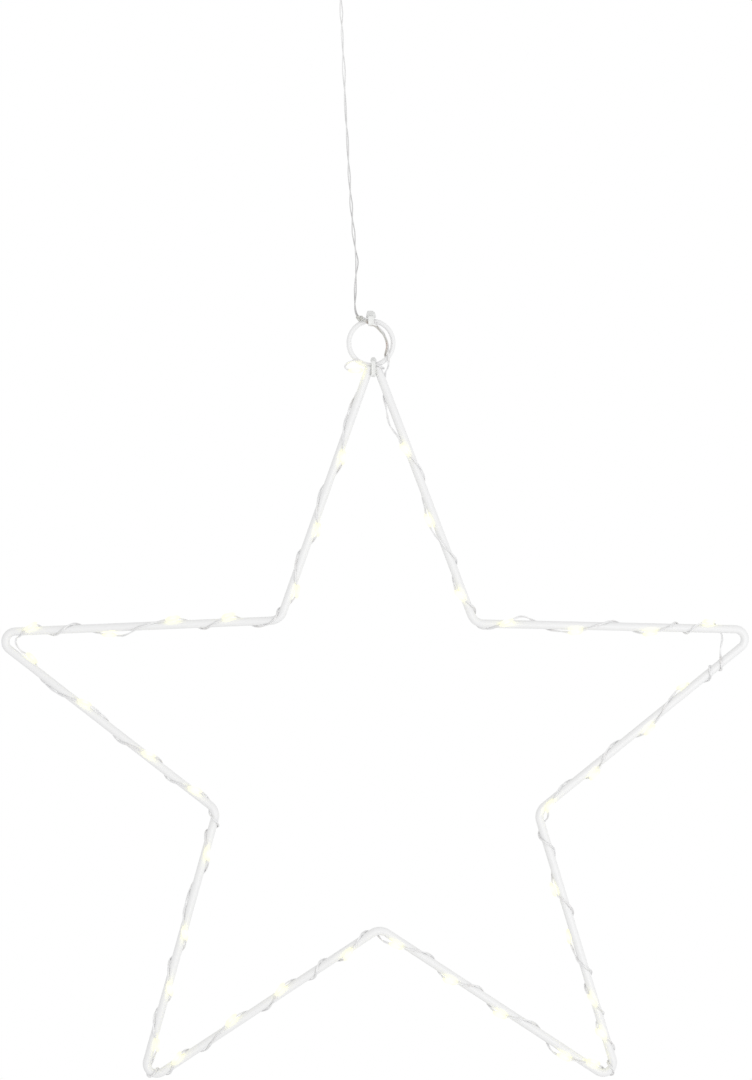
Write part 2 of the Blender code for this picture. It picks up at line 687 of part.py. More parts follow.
def rounded_outline(low, high, corner, steps):
    """A rectangle's outline between two corners, with round corners."""
    outline = []
    spots = ((high[0], high[1], 0), (low[0], high[1], 1), (low[0], low[1], 2), (high[0], low[1], 3))
    for first, second, quarter in spots:
        middle = (
            first - math.copysign(corner, first - (low[0] + high[0]) / 2),
            second - math.copysign(corner, second - (low[1] + high[1]) / 2),
        )
        for step in range(steps + 1):
            angle = math.pi / 2 * (quarter + step / steps)
            outline.append(
                (middle[0] + corner * math.cos(angle), middle[1] + corner * math.sin(angle))
            )
    return outline


def make_frame(material):
    first, last = (STAR[0] + (STAR[way] - STAR[0]).normalized() * END_TRIM for way in (1, -1))
    middle = []
    for corner in range(1, CORNERS):
        reach, turn, radius, way_in = bend_at(corner)
        side = turned_by(way_in, math.copysign(math.pi / 2, turn)) * radius
        centre = STAR[corner] - way_in * reach + side
        steps = math.ceil(math.degrees(abs(turn)) / BEND_STEP_ANGLE)
        middle += [centre - turned_by(side, turn * step / steps) for step in range(steps + 1)]
    route = [(x, 0, z) for x, z in (first, *middle, last)]
    tube("star_frame", route, FRAME_WIRE, FRAME_ROUND_COUNT, material)


def make_ring(material):
    radius = (RING_HOLE + RING_WIRE) / 2
    angles = [math.tau * number / RING_SIDES for number in range(RING_SIDES)]
    points = [
        (RING_CENTRE.x + radius * math.cos(a), 0, RING_CENTRE.y + radius * math.sin(a))
        for a in angles
    ]
    tube("hanging_ring", points, RING_WIRE, RING_ROUND_COUNT, material, ring=True)


def make_tie(name, side, low, high, sizes, material):
    """A strap loop in the YZ plane with its head on the top strap; low and high are its hole."""
    width, thickness, head_width, head_height = sizes
    inner = rounded_outline(low, high, TIE_CORNER, TIE_CORNER_STEPS)
    outer = rounded_outline(
        (low[0] - thickness, low[1] - thickness),
        (high[0] + thickness, high[1] + thickness),
        TIE_CORNER + thickness,
        TIE_CORNER_STEPS,
    )
    half = width / 2
    strap = extruded(name, outer, side - half, side + half, 0, material)
    hole = extruded(name + "_hole", inner, side - half - OVERRUN, side + half + OVERRUN, 0, material)
    foot = high[1] + thickness / 2
    middle = (low[0] + high[0]) / 2
    head = block(
        name + "_head",
        (side - head_width / 2, middle - TIE_HEAD_DEPTH / 2, foot),
        (side + head_width / 2, middle + TIE_HEAD_DEPTH / 2, foot + head_height),
        material,
    )
    combined(strap, head, "UNION")
    combined(strap, hole, "DIFFERENCE")


def make_ties(material):
    deep = RING_WIRE / 2 + GAP + STRING_WIRE + GAP
    sizes = (TIE_WIDTH, TIE_STRAP, TIE_HEAD_WIDTH, TIE_HEAD_HEIGHT)
    high = (RING_WIRE / 2 + GAP, RING_WIRE + GAP)
    make_tie("upper_tie", RING_CENTRE.x, (-deep, -GAP), high, sizes, material)
    sizes = (LOWER_TIE_WIDTH, LOWER_TIE_STRAP, LOWER_TIE_HEAD_WIDTH, LOWER_TIE_HEAD_HEIGHT)
    low = (-deep, GAP - RING_HOLE - LOWER_TIE_DROP)
    make_tie("lower_tie", LOWER_TIE_SIDE, low, (deep, GAP - RING_HOLE), sizes, material)


def make_string(string_material, light_material):
    points, seats = string_route()
    tube("led_string", points, STRING_WIRE, STRING_ROUND_COUNT, string_material)
    print(f"least gap of the string to itself {least_gap(points) * 1000:.2f} mm")
    bore = STRING_WIRE / 2 + GAP
    half = LIGHT_LENGTH / 2
    shoulder = half * LIGHT_SHOULDER_SHARE
    rings = (
        (bore, -half),
        (LIGHT_END_WIDTH / 2, -half),
        (LIGHT_WIDTH / 2, -shoulder),
        (LIGHT_WIDTH / 2, shoulder),
        (LIGHT_END_WIDTH / 2, half),
        (bore, half),
    )
    shared = None
    for number, (middle, way) in enumerate(seats, 1):
        name = f"led_{number:02d}"
        if shared is None:
            light = turned(name, rings, LIGHT_SIDES, light_material, bored=True)
            shared = light.data
        else:
            light = placed(name, shared, light_material)
        light.location = middle
        light.rotation_mode = "QUATERNION"
        light.rotation_quaternion = way.to_track_quat("Z", "Y")


def make_lead(material):
    tube("lead_cord", curved(LEAD_ROUTE, LEAD_STEP), STRING_WIRE, LEAD_ROUND_COUNT, material)


def box_sizes():
    """Inner and outer limits of the battery box, worked out from its cells."""
    inside = CELL_COUNT * CELL_DIAMETER + (CELL_COUNT - 1) * CELL_SPACING + 2 * CELL_BED
    half = inside / 2 + BOX_SIDE_WALL
    depth = BOX_WALL + CELL_BED + CELL_DIAMETER + CELL_BED + DOOR_TONGUE + DOOR_LIP + 2 * GAP
    bay_low = BOX_BOTTOM + BOX_WALL + SWITCH_BAY + BOX_WALL
    bay_high = bay_low + CELL_LENGTH + PLATE + BOSS + PLATE + SPRING_HEIGHT + 4 * GAP
    return {
        "left": BOX_SIDE - half,
        "right": BOX_SIDE + half,
        "front": -depth / 2,
        "back": depth / 2,
        "inside_left": BOX_SIDE - inside / 2,
        "inside_right": BOX_SIDE + inside / 2,
        "bay_low": bay_low,
        "bay_high": bay_high,
        "top": bay_high + BOX_WALL,
        "cell_y": depth / 2 - BOX_WALL - CELL_BED - CELL_DIAMETER / 2,
    }


BOX = box_sizes()
DECK_INSIDE = BOX["front"] + DOOR_LIP + DOOR_TONGUE + 2 * GAP
FLOOR = BOX["back"] - BOX_WALL
SLOT_Z = BOX_BOTTOM + BOX_WALL + SWITCH_BAY / 2


def make_case(material):
    case = block(
        "battery_case",
        (BOX["left"], BOX["front"], BOX_BOTTOM),
        (BOX["right"], BOX["back"], BOX["top"]),
        material,
    )
    softened(case, BOX_EDGE, BOX_EDGE_COUNT)
    tab_low = BOX["top"] - BOX_WALL / 2
    tab_high = BOX["top"] + EYELET_HEIGHT
    tab_outline = rounded_outline(
        (BOX_SIDE - EYELET_WIDTH / 2, tab_low - EYELET_HEIGHT / 2),
        (BOX_SIDE + EYELET_WIDTH / 2, tab_high),
        EYELET_CORNER,
        EYELET_CORNER_STEPS,
    )
    tab_back = BOX["back"] - BOX_EDGE
    tab_front = tab_back - EYELET_THICKNESS
    tab = extruded("eyelet_tab", tab_outline, tab_front, tab_back, 1, material)
    combined(case, tab, "UNION")
    reach = EYELET_THICKNESS / 2 + OVERRUN
    hole_rings = ((EYELET_HOLE / 2, -reach), (EYELET_HOLE / 2, reach))
    hole = turned("eyelet_hole", hole_rings, EYELET_SIDES, material)
    hole.rotation_euler = (math.pi / 2, 0, 0)
    hole.location = (BOX_SIDE, (tab_front + tab_back) / 2, BOX["top"] + EYELET_HEIGHT / 2)
    combined(case, hole, "DIFFERENCE")
    left, right = BOX["inside_left"], BOX["inside_right"]
    switch_bay = block(
        "switch_bay",
        (left, DECK_INSIDE, BOX_BOTTOM + BOX_WALL),
        (right, FLOOR, BOX["bay_low"] - BOX_WALL),
        material,
    )
    combined(case, switch_bay, "DIFFERENCE")
    cell_bay = block(
        "cell_bay",
        (left, BOX["front"] - OVERRUN, BOX["bay_low"]),
        (right, FLOOR, BOX["bay_high"]),
        material,
    )
    combined(case, cell_bay, "DIFFERENCE")
    wires = block(
        "wire_gap",
        (left, FLOOR - WIRE_GAP_WIDTH, BOX["bay_low"] - BOX_WALL - OVERRUN),
        (left + WIRE_GAP_WIDTH, FLOOR, BOX["bay_low"] + OVERRUN),
        material,
    )
    combined(case, wires, "DIFFERENCE")
    channel = block(
        "door_channel",
        (left, BOX["front"] - OVERRUN, BOX["bay_low"]),
        (right, DECK_INSIDE, BOX["top"] + OVERRUN),
        material,
    )
    combined(case, channel, "DIFFERENCE")
    reach = DOOR_TONGUE_REACH + GAP
    groove = block(
        "door_groove",
        (left - reach, BOX["front"] + DOOR_LIP, BOX["bay_low"]),
        (right + reach, DECK_INSIDE, BOX["top"] + OVERRUN),
        material,
    )
    combined(case, groove, "DIFFERENCE")
    slot_length = STEM_LENGTH + SWITCH_TRAVEL + 2 * GAP
    slot = block(
        "switch_slot",
        (BOX_SIDE - slot_length / 2, BOX["front"] - OVERRUN, SLOT_Z - STEM_WIDTH / 2 - GAP),
        (BOX_SIDE + slot_length / 2, DECK_INSIDE + OVERRUN, SLOT_Z + STEM_WIDTH / 2 + GAP),
        material,
    )
    combined(case, slot, "DIFFERENCE")
    outlet = turned(
        "lead_hole",
        [(GROMMET_BODY / 2 + GAP, height) for height in (-OVERRUN, BOX_WALL + OVERRUN)],
        GROMMET_SIDES,
        material,
    )
    outlet.location = (BOX_SIDE, 0, BOX_BOTTOM)
    combined(case, outlet, "DIFFERENCE")


def make_door(material):
    panel = (BOX["inside_right"] - BOX["inside_left"]) / 2 - GAP
    tongue = panel + GAP + DOOR_TONGUE_REACH
    front = BOX["front"]
    tongue_front = front + DOOR_LIP + GAP
    tongue_back = tongue_front + DOOR_TONGUE
    half = (
        (panel, front), (panel, tongue_front), (tongue, tongue_front), (tongue, tongue_back),
    )
    outline = [(BOX_SIDE + x, y) for x, y in half]
    outline += [(BOX_SIDE - x, y) for x, y in reversed(half)]
    foot = BOX["bay_low"] + GAP
    door = extruded("battery_door", outline, foot, BOX["top"], 2, material)
    based(door, (BOX_SIDE, tongue_front, foot))
    grips = []
    for number in range(GRIP_COUNT):
        low = BOX["top"] - GRIP_DROP - GRIP_PITCH * number
        near = (BOX_SIDE - GRIP_LENGTH / 2, front - OVERRUN, low)
        far = (BOX_SIDE + GRIP_LENGTH / 2, front + GRIP_DEPTH, low + GRIP_WIDTH)
        grips.append((near, far))
    combined(door, boxes("door_grips", grips, material), "DIFFERENCE")


def cell_places():
    """Middle of each cell's axis across the box, and whether its nub is up."""
    pitch = CELL_DIAMETER + CELL_SPACING
    first = BOX_SIDE - pitch * (CELL_COUNT - 1) / 2
    return [(first + pitch * number, number % 2 == 0) for number in range(CELL_COUNT)]


def cell_foot(nub_up):
    """Height of a cell's flat end. Its nub meets a boss, and its flat end a spring."""
    if nub_up:
        return BOX["bay_low"] + GAP + PLATE + SPRING_HEIGHT + GAP
    return BOX["bay_high"] - GAP - PLATE - SPRING_HEIGHT - GAP


def make_cells(material):
    radius = CELL_DIAMETER / 2
    body = CELL_LENGTH - CELL_NUB
    rings = (
        (radius - CELL_EDGE, 0),
        (radius, CELL_EDGE),
        (radius, body - CELL_EDGE),
        (radius - CELL_EDGE, body),
        (CELL_NUB_DIAMETER / 2, body),
        (CELL_NUB_DIAMETER / 2, CELL_LENGTH),
    )
    for number, (across, nub_up) in enumerate(cell_places(), 1):
        cell = turned(f"cell_{number}", rings, CELL_SIDES, material)
        cell.location = (across, BOX["cell_y"], cell_foot(nub_up))
        if not nub_up:
            cell.rotation_euler = (math.pi, 0, 0)


def make_contact(name, spots, material):
    """One contact plate at an end of the bay; each spot is across, up and whether it is a spring."""
    up = spots[0][1]
    wall = BOX["bay_high"] - GAP if up else BOX["bay_low"] + GAP
    inward = -1 if up else 1
    low = min(spot[0] for spot in spots) - PLATE_WIDTH / 2
    high = max(spot[0] for spot in spots) + PLATE_WIDTH / 2
    depth = (BOX["cell_y"] - PLATE_WIDTH / 2, BOX["cell_y"] + PLATE_WIDTH / 2)
    heights = sorted((wall, wall + inward * PLATE))
    plate = block(name, (low, depth[0], heights[0]), (high, depth[1], heights[1]), material)
    for number, (across, _, spring) in enumerate(spots):
        foot = SPRING_FOOT if spring else BOSS_DIAMETER
        top = SPRING_TOP if spring else BOSS_TOP
        rise = SPRING_HEIGHT if spring else BOSS
        rings = ((foot / 2, 0), (foot / 2, PLATE / 2), (top / 2, PLATE / 2 + rise))
        boss = turned(f"{name}_boss_{number}", rings, BOSS_SIDES, material)
        boss.location = (across, BOX["cell_y"], wall + inward * PLATE / 2)
        if up:
            boss.rotation_euler = (math.pi, 0, 0)
        combined(plate, boss, "UNION")


def make_contacts(material):
    (first, _), (second, _), (third, _) = cell_places()
    make_contact("contact_positive", [(first, True, False)], material)
    make_contact("contact_bridge_low", [(first, False, True), (second, False, False)], material)
    make_contact("contact_bridge_high", [(second, True, True), (third, True, False)], material)
    make_contact("contact_negative", [(third, False, True)], material)


def make_switch(slider_material, housing_material):
    inside = DECK_INSIDE + GAP
    front = BOX["front"] - GAP
    centre = (BOX_SIDE + SWITCH_TRAVEL / 2, SLOT_Z)
    levels = (
        (front - KNOB_HEIGHT, KNOB_LENGTH / 2 - KNOB_EDGE, KNOB_WIDTH / 2 - KNOB_EDGE),
        (front - KNOB_HEIGHT + KNOB_EDGE, KNOB_LENGTH / 2, KNOB_WIDTH / 2),
        (front, KNOB_LENGTH / 2, KNOB_WIDTH / 2),
        (front, STEM_LENGTH / 2, STEM_WIDTH / 2),
        (inside, STEM_LENGTH / 2, STEM_WIDTH / 2),
        (inside, FLANGE_LENGTH / 2, FLANGE_WIDTH / 2),
        (inside + FLANGE, FLANGE_LENGTH / 2, FLANGE_WIDTH / 2),
    )
    slider = stepped("switch_slider", levels, centre, slider_material)
    based(slider, (centre[0], front, centre[1]))
    half, width = SWITCH_LENGTH / 2, SWITCH_WIDTH / 2
    housing = block(
        "switch_housing",
        (BOX_SIDE - half, inside, SLOT_Z - width),
        (BOX_SIDE + half, inside + SWITCH_DEPTH, SLOT_Z + width),
        housing_material,
    )
    well_length = (FLANGE_LENGTH + SWITCH_TRAVEL) / 2 + GAP
    well_width = FLANGE_WIDTH / 2 + GAP
    well = block(
        "switch_well",
        (BOX_SIDE - well_length, inside - OVERRUN, SLOT_Z - well_width),
        (BOX_SIDE + well_length, inside + FLANGE + GAP, SLOT_Z + well_width),
        housing_material,
    )
    combined(housing, well, "DIFFERENCE")


def make_grommet(material):
    bore = STRING_WIRE / 2 + GAP
    body = GROMMET_BODY / 2
    rings = (
        (bore, BOX_WALL),
        (body, BOX_WALL),
        (body, -GAP),
        (GROMMET_FLANGE / 2, -GAP),
        (GROMMET_FLANGE / 2, -GAP - GROMMET_RIM),
        (GROMMET_NOSE / 2 + GAP, -GAP - GROMMET_RIM),
        (GROMMET_NOSE / 2, -GAP - GROMMET_RIM - GROMMET_NOSE_LENGTH),
        (bore, -GAP - GROMMET_RIM - GROMMET_NOSE_LENGTH),
    )
    grommet = turned("lead_grommet", rings, GROMMET_SIDES, material, bored=True)
    grommet.location = (BOX_SIDE, 0, BOX_BOTTOM)


def main():
    clear_scene()
    coat = finish("white powder coat", (0.86, 0.86, 0.85), 0.45)
    nylon = finish("clear nylon", (0.80, 0.80, 0.76), 0.40)
    wire = finish("enamelled twin wire", (0.20, 0.20, 0.16), 0.35, 0.6)
    resin = finish("clear resin", (0.96, 0.88, 0.66), 0.12)
    shell = finish("white moulded plastic", (0.84, 0.84, 0.82), 0.38)
    dark = finish("black moulded plastic", (0.03, 0.03, 0.03), 0.40)
    label = finish("grey cell jacket", (0.30, 0.32, 0.34), 0.35, 0.4)
    plated = finish("nickel plate", (0.62, 0.61, 0.58), 0.25, 1.0)
    make_frame(coat)
    make_ring(coat)
    make_ties(nylon)
    make_string(wire, resin)
    make_lead(wire)
    make_case(shell)
    make_door(shell)
    make_cells(label)
    make_contacts(plated)
    make_switch(dark, plated)
    make_grommet(dark)


main()
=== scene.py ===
"""Looks of a hanging wire star wound with a string of small warm lights, and of the battery
box at the end of its lead.

Lengths are metres in the packed model's frame: +Z is up, the star faces -Y and hangs from the
origin. Angles round the star's wire are degrees: 0 points away from the star's middle, 90 to
the front, 180 to the middle and 270 to the back.
"""

import math
import random

import bmesh
import bpy
import numpy as np
from bpy.props import FloatProperty, FloatVectorProperty, IntProperty, PointerProperty
from mathutils import Matrix, Vector


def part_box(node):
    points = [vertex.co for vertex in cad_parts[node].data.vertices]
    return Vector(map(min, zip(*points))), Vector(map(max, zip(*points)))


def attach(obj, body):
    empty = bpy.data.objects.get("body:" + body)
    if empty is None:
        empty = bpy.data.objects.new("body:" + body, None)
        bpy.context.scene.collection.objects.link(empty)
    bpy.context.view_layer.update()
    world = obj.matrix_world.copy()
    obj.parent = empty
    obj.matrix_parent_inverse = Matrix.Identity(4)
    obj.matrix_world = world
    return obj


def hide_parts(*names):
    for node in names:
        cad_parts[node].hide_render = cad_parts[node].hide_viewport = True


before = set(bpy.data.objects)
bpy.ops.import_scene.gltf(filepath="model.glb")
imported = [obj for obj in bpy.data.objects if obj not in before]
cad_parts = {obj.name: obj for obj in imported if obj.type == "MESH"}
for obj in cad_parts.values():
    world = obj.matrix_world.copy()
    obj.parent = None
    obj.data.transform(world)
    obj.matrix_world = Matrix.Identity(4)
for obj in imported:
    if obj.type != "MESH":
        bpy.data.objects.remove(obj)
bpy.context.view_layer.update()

bl_info = {
    "name": "Wire star light",
    "version": (1, 0, 0),
    "blender": (4, 5, 0),
    "location": "3D View > Sidebar > Star light",
    "description": "Builds the looks of a hanging wire star with a wound string of lights",
    "category": "Object",
}

STAR_BODY, DOOR_BODY, SLIDER_BODY = "star", "door", "slider"

# Corners of the star's wire in x and z, from the top tip clockwise as the camera sees them
CORNERS = (
    (0.000898, -0.013458),
    (0.041387, -0.120070),
    (0.156507, -0.122619),
    (0.066555, -0.195503),
    (0.099822, -0.305141),
    (0.003486, -0.241995),
    (-0.092412, -0.305387),
    (-0.061573, -0.194943),
    (-0.153321, -0.123802),
    (-0.036398, -0.118800),
)

# How far the tips are from the star's middle, the radii of the bends at the tips and at the
# inner corners, and how far from the top corner both ends of the wire stop
TIP_RADIUS = 0.1624
TIP_BEND = 0.004
INNER_BEND = 0.0055
END_TRIM = 0.005226

# How the string lies along each leg: the place as a share of the leg's length, and the angle
# round the wire. It lies against the wire, or as the row says, a little off it or with a light.
TIGHT, LOOSE, LIGHT = "tight", "loose", "light"
FIRST_RUN = (
    (
        (0.064, 350), (0.090, 300), (0.125, 245), (0.165, 185), (0.245, 180, LOOSE), (0.295, 160),
        (0.345, 122, LIGHT), (0.385, 80), (0.440, 5), (0.495, 270), (0.550, 195),
        (0.605, 160, LIGHT), (0.650, 140, LOOSE), (0.715, 90), (0.765, 10), (0.800, 270),
        (0.845, 190), (0.890, 122, LIGHT), (0.925, 75), (0.950, 10), (0.985, 280),
    ),
    (
        (0.035, 185), (0.070, 130), (0.110, 75, LIGHT), (0.160, 20, LOOSE), (0.205, 320),
        (0.270, 195), (0.350, 145, LIGHT), (0.420, 90), (0.480, 0), (0.525, 270), (0.565, 195),
        (0.610, 145, LIGHT), (0.672, 90), (0.696, 10), (0.718, 270), (0.737, 180), (0.757, 90),
        (0.782, 30), (0.815, 8, LIGHT), (0.844, 285), (0.862, 200),
    ),
)
SECOND_RUN = (
    (
        (0.168, 180), (0.187, 90), (0.199, 0), (0.210, 270), (0.221, 180), (0.233, 90), (0.255, 0),
        (0.290, 280), (0.335, 218, LIGHT), (0.390, 165), (0.445, 90), (0.475, 50),
        (0.520, 30, LIGHT), (0.560, 340), (0.600, 265), (0.655, 185), (0.710, 90), (0.733, 45),
        (0.765, 22, LIGHT), (0.805, 300), (0.865, 190), (0.915, 110), (0.952, 70, LIGHT),
    ),
    (
        (0.022, 8, LOOSE), (0.050, 275), (0.080, 190), (0.110, 95), (0.142, 5), (0.190, 275),
        (0.235, 210), (0.275, 175, LIGHT), (0.322, 90), (0.365, 5), (0.405, 270),
        (0.450, 215, LIGHT), (0.515, 180), (0.560, 95), (0.587, 5), (0.610, 270), (0.638, 180),
        (0.680, 108, LIGHT), (0.715, 70), (0.738, 5), (0.753, 275), (0.770, 190),
        (0.802, 122, LIGHT), (0.838, 50), (0.862, 0), (0.890, 275), (0.922, 200), (0.960, 95),
    ),
    (
        (0.000, 0), (0.030, 280), (0.055, 205), (0.092, 165), (0.128, 145, LIGHT), (0.165, 75),
        (0.222, 32, LIGHT), (0.262, 5, LOOSE), (0.305, 300), (0.365, 190), (0.435, 90),
        (0.488, 32, LIGHT), (0.530, 350), (0.562, 270), (0.602, 185), (0.640, 95),
        (0.698, 45, LIGHT), (0.738, 345), (0.765, 270), (0.805, 185), (0.870, 90),
        (0.922, 45, LIGHT), (0.985, 5, LOOSE),
    ),
    (
        (0.022, 280), (0.055, 190), (0.092, 100), (0.140, 58, LIGHT), (0.178, 345), (0.202, 270),
        (0.232, 190), (0.262, 90), (0.288, 10), (0.325, 275), (0.365, 195), (0.405, 132, LIGHT),
        (0.442, 80), (0.480, 5), (0.530, 270), (0.568, 200), (0.605, 148, LIGHT), (0.688, 85),
        (0.740, 5), (0.775, 270), (0.800, 195), (0.835, 125, LIGHT), (0.868, 70), (0.892, 0),
        (0.918, 275), (0.945, 190), (0.970, 95),
    ),
    (
        (0.000, 0), (0.030, 275), (0.065, 200), (0.115, 180), (0.160, 145, LIGHT), (0.200, 80),
        (0.260, 5), (0.295, 270), (0.325, 190), (0.362, 112, LIGHT), (0.405, 60), (0.450, 0),
        (0.480, 270), (0.515, 190), (0.562, 108, LIGHT), (0.608, 50), (0.660, 5), (0.720, 335),
        (0.755, 265), (0.795, 190), (0.848, 112, LIGHT), (0.888, 60), (0.918, 0), (0.935, 270),
        (0.950, 185), (0.968, 95),
    ),
    (
        (0.000, 0), (0.030, 275), (0.062, 190), (0.105, 120, LIGHT), (0.155, 80), (0.200, 5),
        (0.235, 270), (0.265, 190), (0.305, 118, LIGHT), (0.365, 85), (0.420, 5), (0.465, 270),
        (0.515, 190), (0.588, 132, LIGHT), (0.640, 80), (0.700, 5), (0.755, 330), (0.785, 260),
        (0.828, 205, LIGHT), (0.868, 182),
    ),
)
THIRD_RUN = (
    (
        (0.105, 178), (0.120, 115), (0.150, 50, LIGHT), (0.176, 335), (0.190, 265), (0.222, 190),
        (0.260, 90), (0.295, 5), (0.335, 270), (0.370, 215), (0.415, 192, LIGHT),
        (0.460, 170, LOOSE), (0.530, 90), (0.580, 48), (0.635, 30, LIGHT), (0.672, 330),
        (0.700, 265), (0.735, 190), (0.780, 85), (0.825, 22, LIGHT), (0.868, 300), (0.910, 210),
        (0.960, 130),
    ),
    (
        (0.000, 60), (0.030, 0), (0.055, 270), (0.080, 205), (0.118, 158, LIGHT), (0.170, 85),
        (0.240, 0), (0.282, 270), (0.312, 200), (0.352, 148, LIGHT), (0.405, 80), (0.485, 0),
        (0.532, 270), (0.578, 195), (0.625, 138, LIGHT), (0.685, 85), (0.755, 10), (0.820, 345),
        (0.870, 300), (0.915, 268),
    ),
)

# Free stretches in metres; those that cross a tip are from its corner, as shares of the
# tips' radius
START_ROUTE = (
    (-0.0036, -0.0017, 0.0021), (-0.0023, -0.0017, 0.0019), (-0.0011, -0.0017, 0.0015),
    (0.0002, -0.0017, 0.0010), (0.0013, -0.0016, 0.0004), (0.0024, -0.0014, -0.0008),
    (0.0035, -0.0012, -0.0021), (0.0047, -0.0010, -0.0035), (0.0057, -0.0010, -0.0051),
    (0.0064, -0.0010, -0.0070), (0.0068, -0.0011, -0.0091), (0.0069, -0.0014, -0.0111),
    (0.0069, -0.0018, -0.0130), (0.0071, -0.0020, -0.0148), (0.0072, -0.0020, -0.0164),
    (0.0069, -0.0015, -0.0178), (0.0064, -0.0006, -0.0187),
)
RIGHT_TIP = (
    (-0.0961, 0.0025, -0.0191), (-0.0985, 0.0018, -0.0308), (-0.1034, 0.0012, -0.0431),
    (-0.1053, 0.0006, -0.0542),
)
LEFT_TIP = (
    (0.0751, 0.0006, -0.0363), (0.0671, 0.0000, -0.0277), (0.0647, 0.0000, -0.0185),
    (0.0696, 0.0006, -0.0111),
)
END_ROUTE = (
    (-0.0016, 0.0026, -0.0207), (-0.0012, 0.0025, -0.0195), (-0.0008, 0.0024, -0.0184),
    (-0.0002, 0.0021, -0.0174), (0.0004, 0.0017, -0.0169), (0.0011, 0.0016, -0.0168),
    (0.0018, 0.0017, -0.0168), (0.0028, 0.0022, -0.0171), (0.0039, 0.0024, -0.0177),
    (0.0049, 0.0016, -0.0180),
    (0.0053, 0.0003, -0.0181), (0.0051, -0.0010, -0.0180), (0.0044, -0.0021, -0.0177),
    (0.0034, -0.0023, -0.0171), (0.0023, -0.0018, -0.0167), (0.0011, -0.0017, -0.0166),
    (-0.0004, -0.0017, -0.0166), (-0.0020, -0.0018, -0.0160), (-0.0038, -0.0018, -0.0151),
    (-0.0056, -0.0018, -0.0147), (-0.0076, -0.0015, -0.0150), (-0.0094, -0.0012, -0.0158),
    (-0.0107, -0.0012, -0.0166), (-0.0113, -0.0014, -0.0177), (-0.0108, -0.0017, -0.0187),
    (-0.0096, -0.0020, -0.0190),
)
# The last light, at the string's free end: its middle and the way along it
END_LIGHT = (-0.0061, -0.0021, -0.0190)
END_WAY = (1.0, 0.0, 0.03)

# Lead, from the battery box down to the ring
LEAD_ROUTE = (
    (-0.0123, 0.0000, 0.1380), (-0.0123, 0.0000, 0.1340), (-0.0120, 0.0000, 0.1280),
    (-0.0116, 0.0000, 0.1180), (-0.0111, 0.0000, 0.1073), (-0.0106, 0.0000, 0.0955),
    (-0.0101, 0.0000, 0.0837), (-0.0095, -0.0001, 0.0749), (-0.0091, -0.0002, 0.0661),
    (-0.0085, -0.0003, 0.0559), (-0.0078, -0.0004, 0.0457), (-0.0071, -0.0005, 0.0375),
    (-0.0063, -0.0006, 0.0300), (-0.0056, -0.0007, 0.0247), (-0.0059, -0.0009, 0.0203),
    (-0.0062, -0.0010, 0.0160), (-0.0063, -0.0012, 0.0110), (-0.0064, -0.0014, 0.0066),
    (-0.0059, -0.0016, 0.0037), (-0.0050, -0.0017, 0.0025), (-0.0040, -0.0017, 0.0021),
)

# What the string keeps from the wire it lies on and where it lies loose, the steps in which its
# route and the pair are worked out, how far back a free stretch looks for its way, and the
# straight stretch at each light with the way up to it
TOUCH = 0.00006
SLACK = 0.0016
CURVE_STEP = 0.0003
PAIR_STEP = 0.00042
LOOK_BACK = 0.00084
LIGHT_STRAIGHT = 0.0049
LIGHT_APPROACH = 0.001

# Middle of the knot, and the wire doubled back from it, under the upper tie and down inside
# the ring
KNOT_MIDDLE = (-0.0046, -0.0017, 0.0019)
BACK_ROUTE = (
    (-0.0056, -0.0019, 0.0021), (-0.0043, -0.0024, 0.0016), (-0.0028, -0.0025, 0.0011),
    (-0.0014, -0.0020, 0.0002), (-0.0004, -0.0016, -0.0008), (0.0010, -0.0017, -0.0011),
    (0.0024, -0.0018, -0.0018), (0.0036, -0.0017, -0.0031), (0.0048, -0.0016, -0.0046),
    (0.0058, -0.0019, -0.0063), (0.0063, -0.0020, -0.0080), (0.0062, -0.0019, -0.0097),
    (0.0060, -0.0015, -0.0112), (0.0058, -0.0006, -0.0123), (0.0056, 0.0005, -0.0127),
    (0.0057, 0.0014, -0.0133), (0.0060, 0.00175, -0.0142),
)

# Half profile of a drop: places along it and widths, as shares of half its length and width
DROP_SHARES = (
    (-1.16, 0.24), (-1.05, 0.36), (-0.94, 0.52), (-0.8, 0.7), (-0.6, 0.86), (-0.3, 0.97),
    (0.0, 1.0), (0.3, 0.98), (0.58, 0.88), (0.78, 0.73), (0.93, 0.55), (1.04, 0.38), (1.15, 0.25),
)

# Places along a leg of the star where its wire has a ring of points, and the last one before a
# bend
LEG_SHARES = (0.02, 0.25, 0.5, 0.75)
LEG_END = 0.98

# Radius and height of each ring of a contact's pressed button
BUTTON_RINGS = (
    (0.0030, 0.0), (0.0028, 0.0003), (0.0024, 0.0010), (0.0018, 0.0013), (0.0008, 0.0014),
)

# Names of the two shared shader groups, and the outputs of both
GRAIN, METAL = "Surface grain", "Rubbed metal"
SURFACE = {
    "Color": "NodeSocketColor",
    "Roughness": "NodeSocketFloat",
    "Height": "NodeSocketFloat",
}


def number(name, default, description):
    """A length that the sidebar shows."""
    return FloatProperty(
        name=name, description=description, default=default, unit="LENGTH", precision=5
    )


def amount(name, default, description, unit="NONE"):
    """A number that isn't a length, which the sidebar shows."""
    return FloatProperty(name=name, description=description, default=default, unit=unit)


def whole(name, default, description):
    """A count that the sidebar shows."""
    return IntProperty(
        name=name, description=description, default=default, min=1, subtype="UNSIGNED"
    )


def share(name, default, description):
    """A number from zero to one that the sidebar shows."""
    return FloatProperty(
        name=name, description=description, default=default, min=0, max=1, subtype="FACTOR"
    )


def colour(name, default, description):
    """A colour that the sidebar shows."""
    return FloatVectorProperty(
        name=name, description=description, default=default, min=0, max=1, subtype="COLOR"
    )


def scene_spot(name, default, description):
    """A place in the scene that the sidebar shows."""
    return FloatVectorProperty(
        name=name, description=description, default=default, unit="LENGTH", subtype="TRANSLATION"
    )


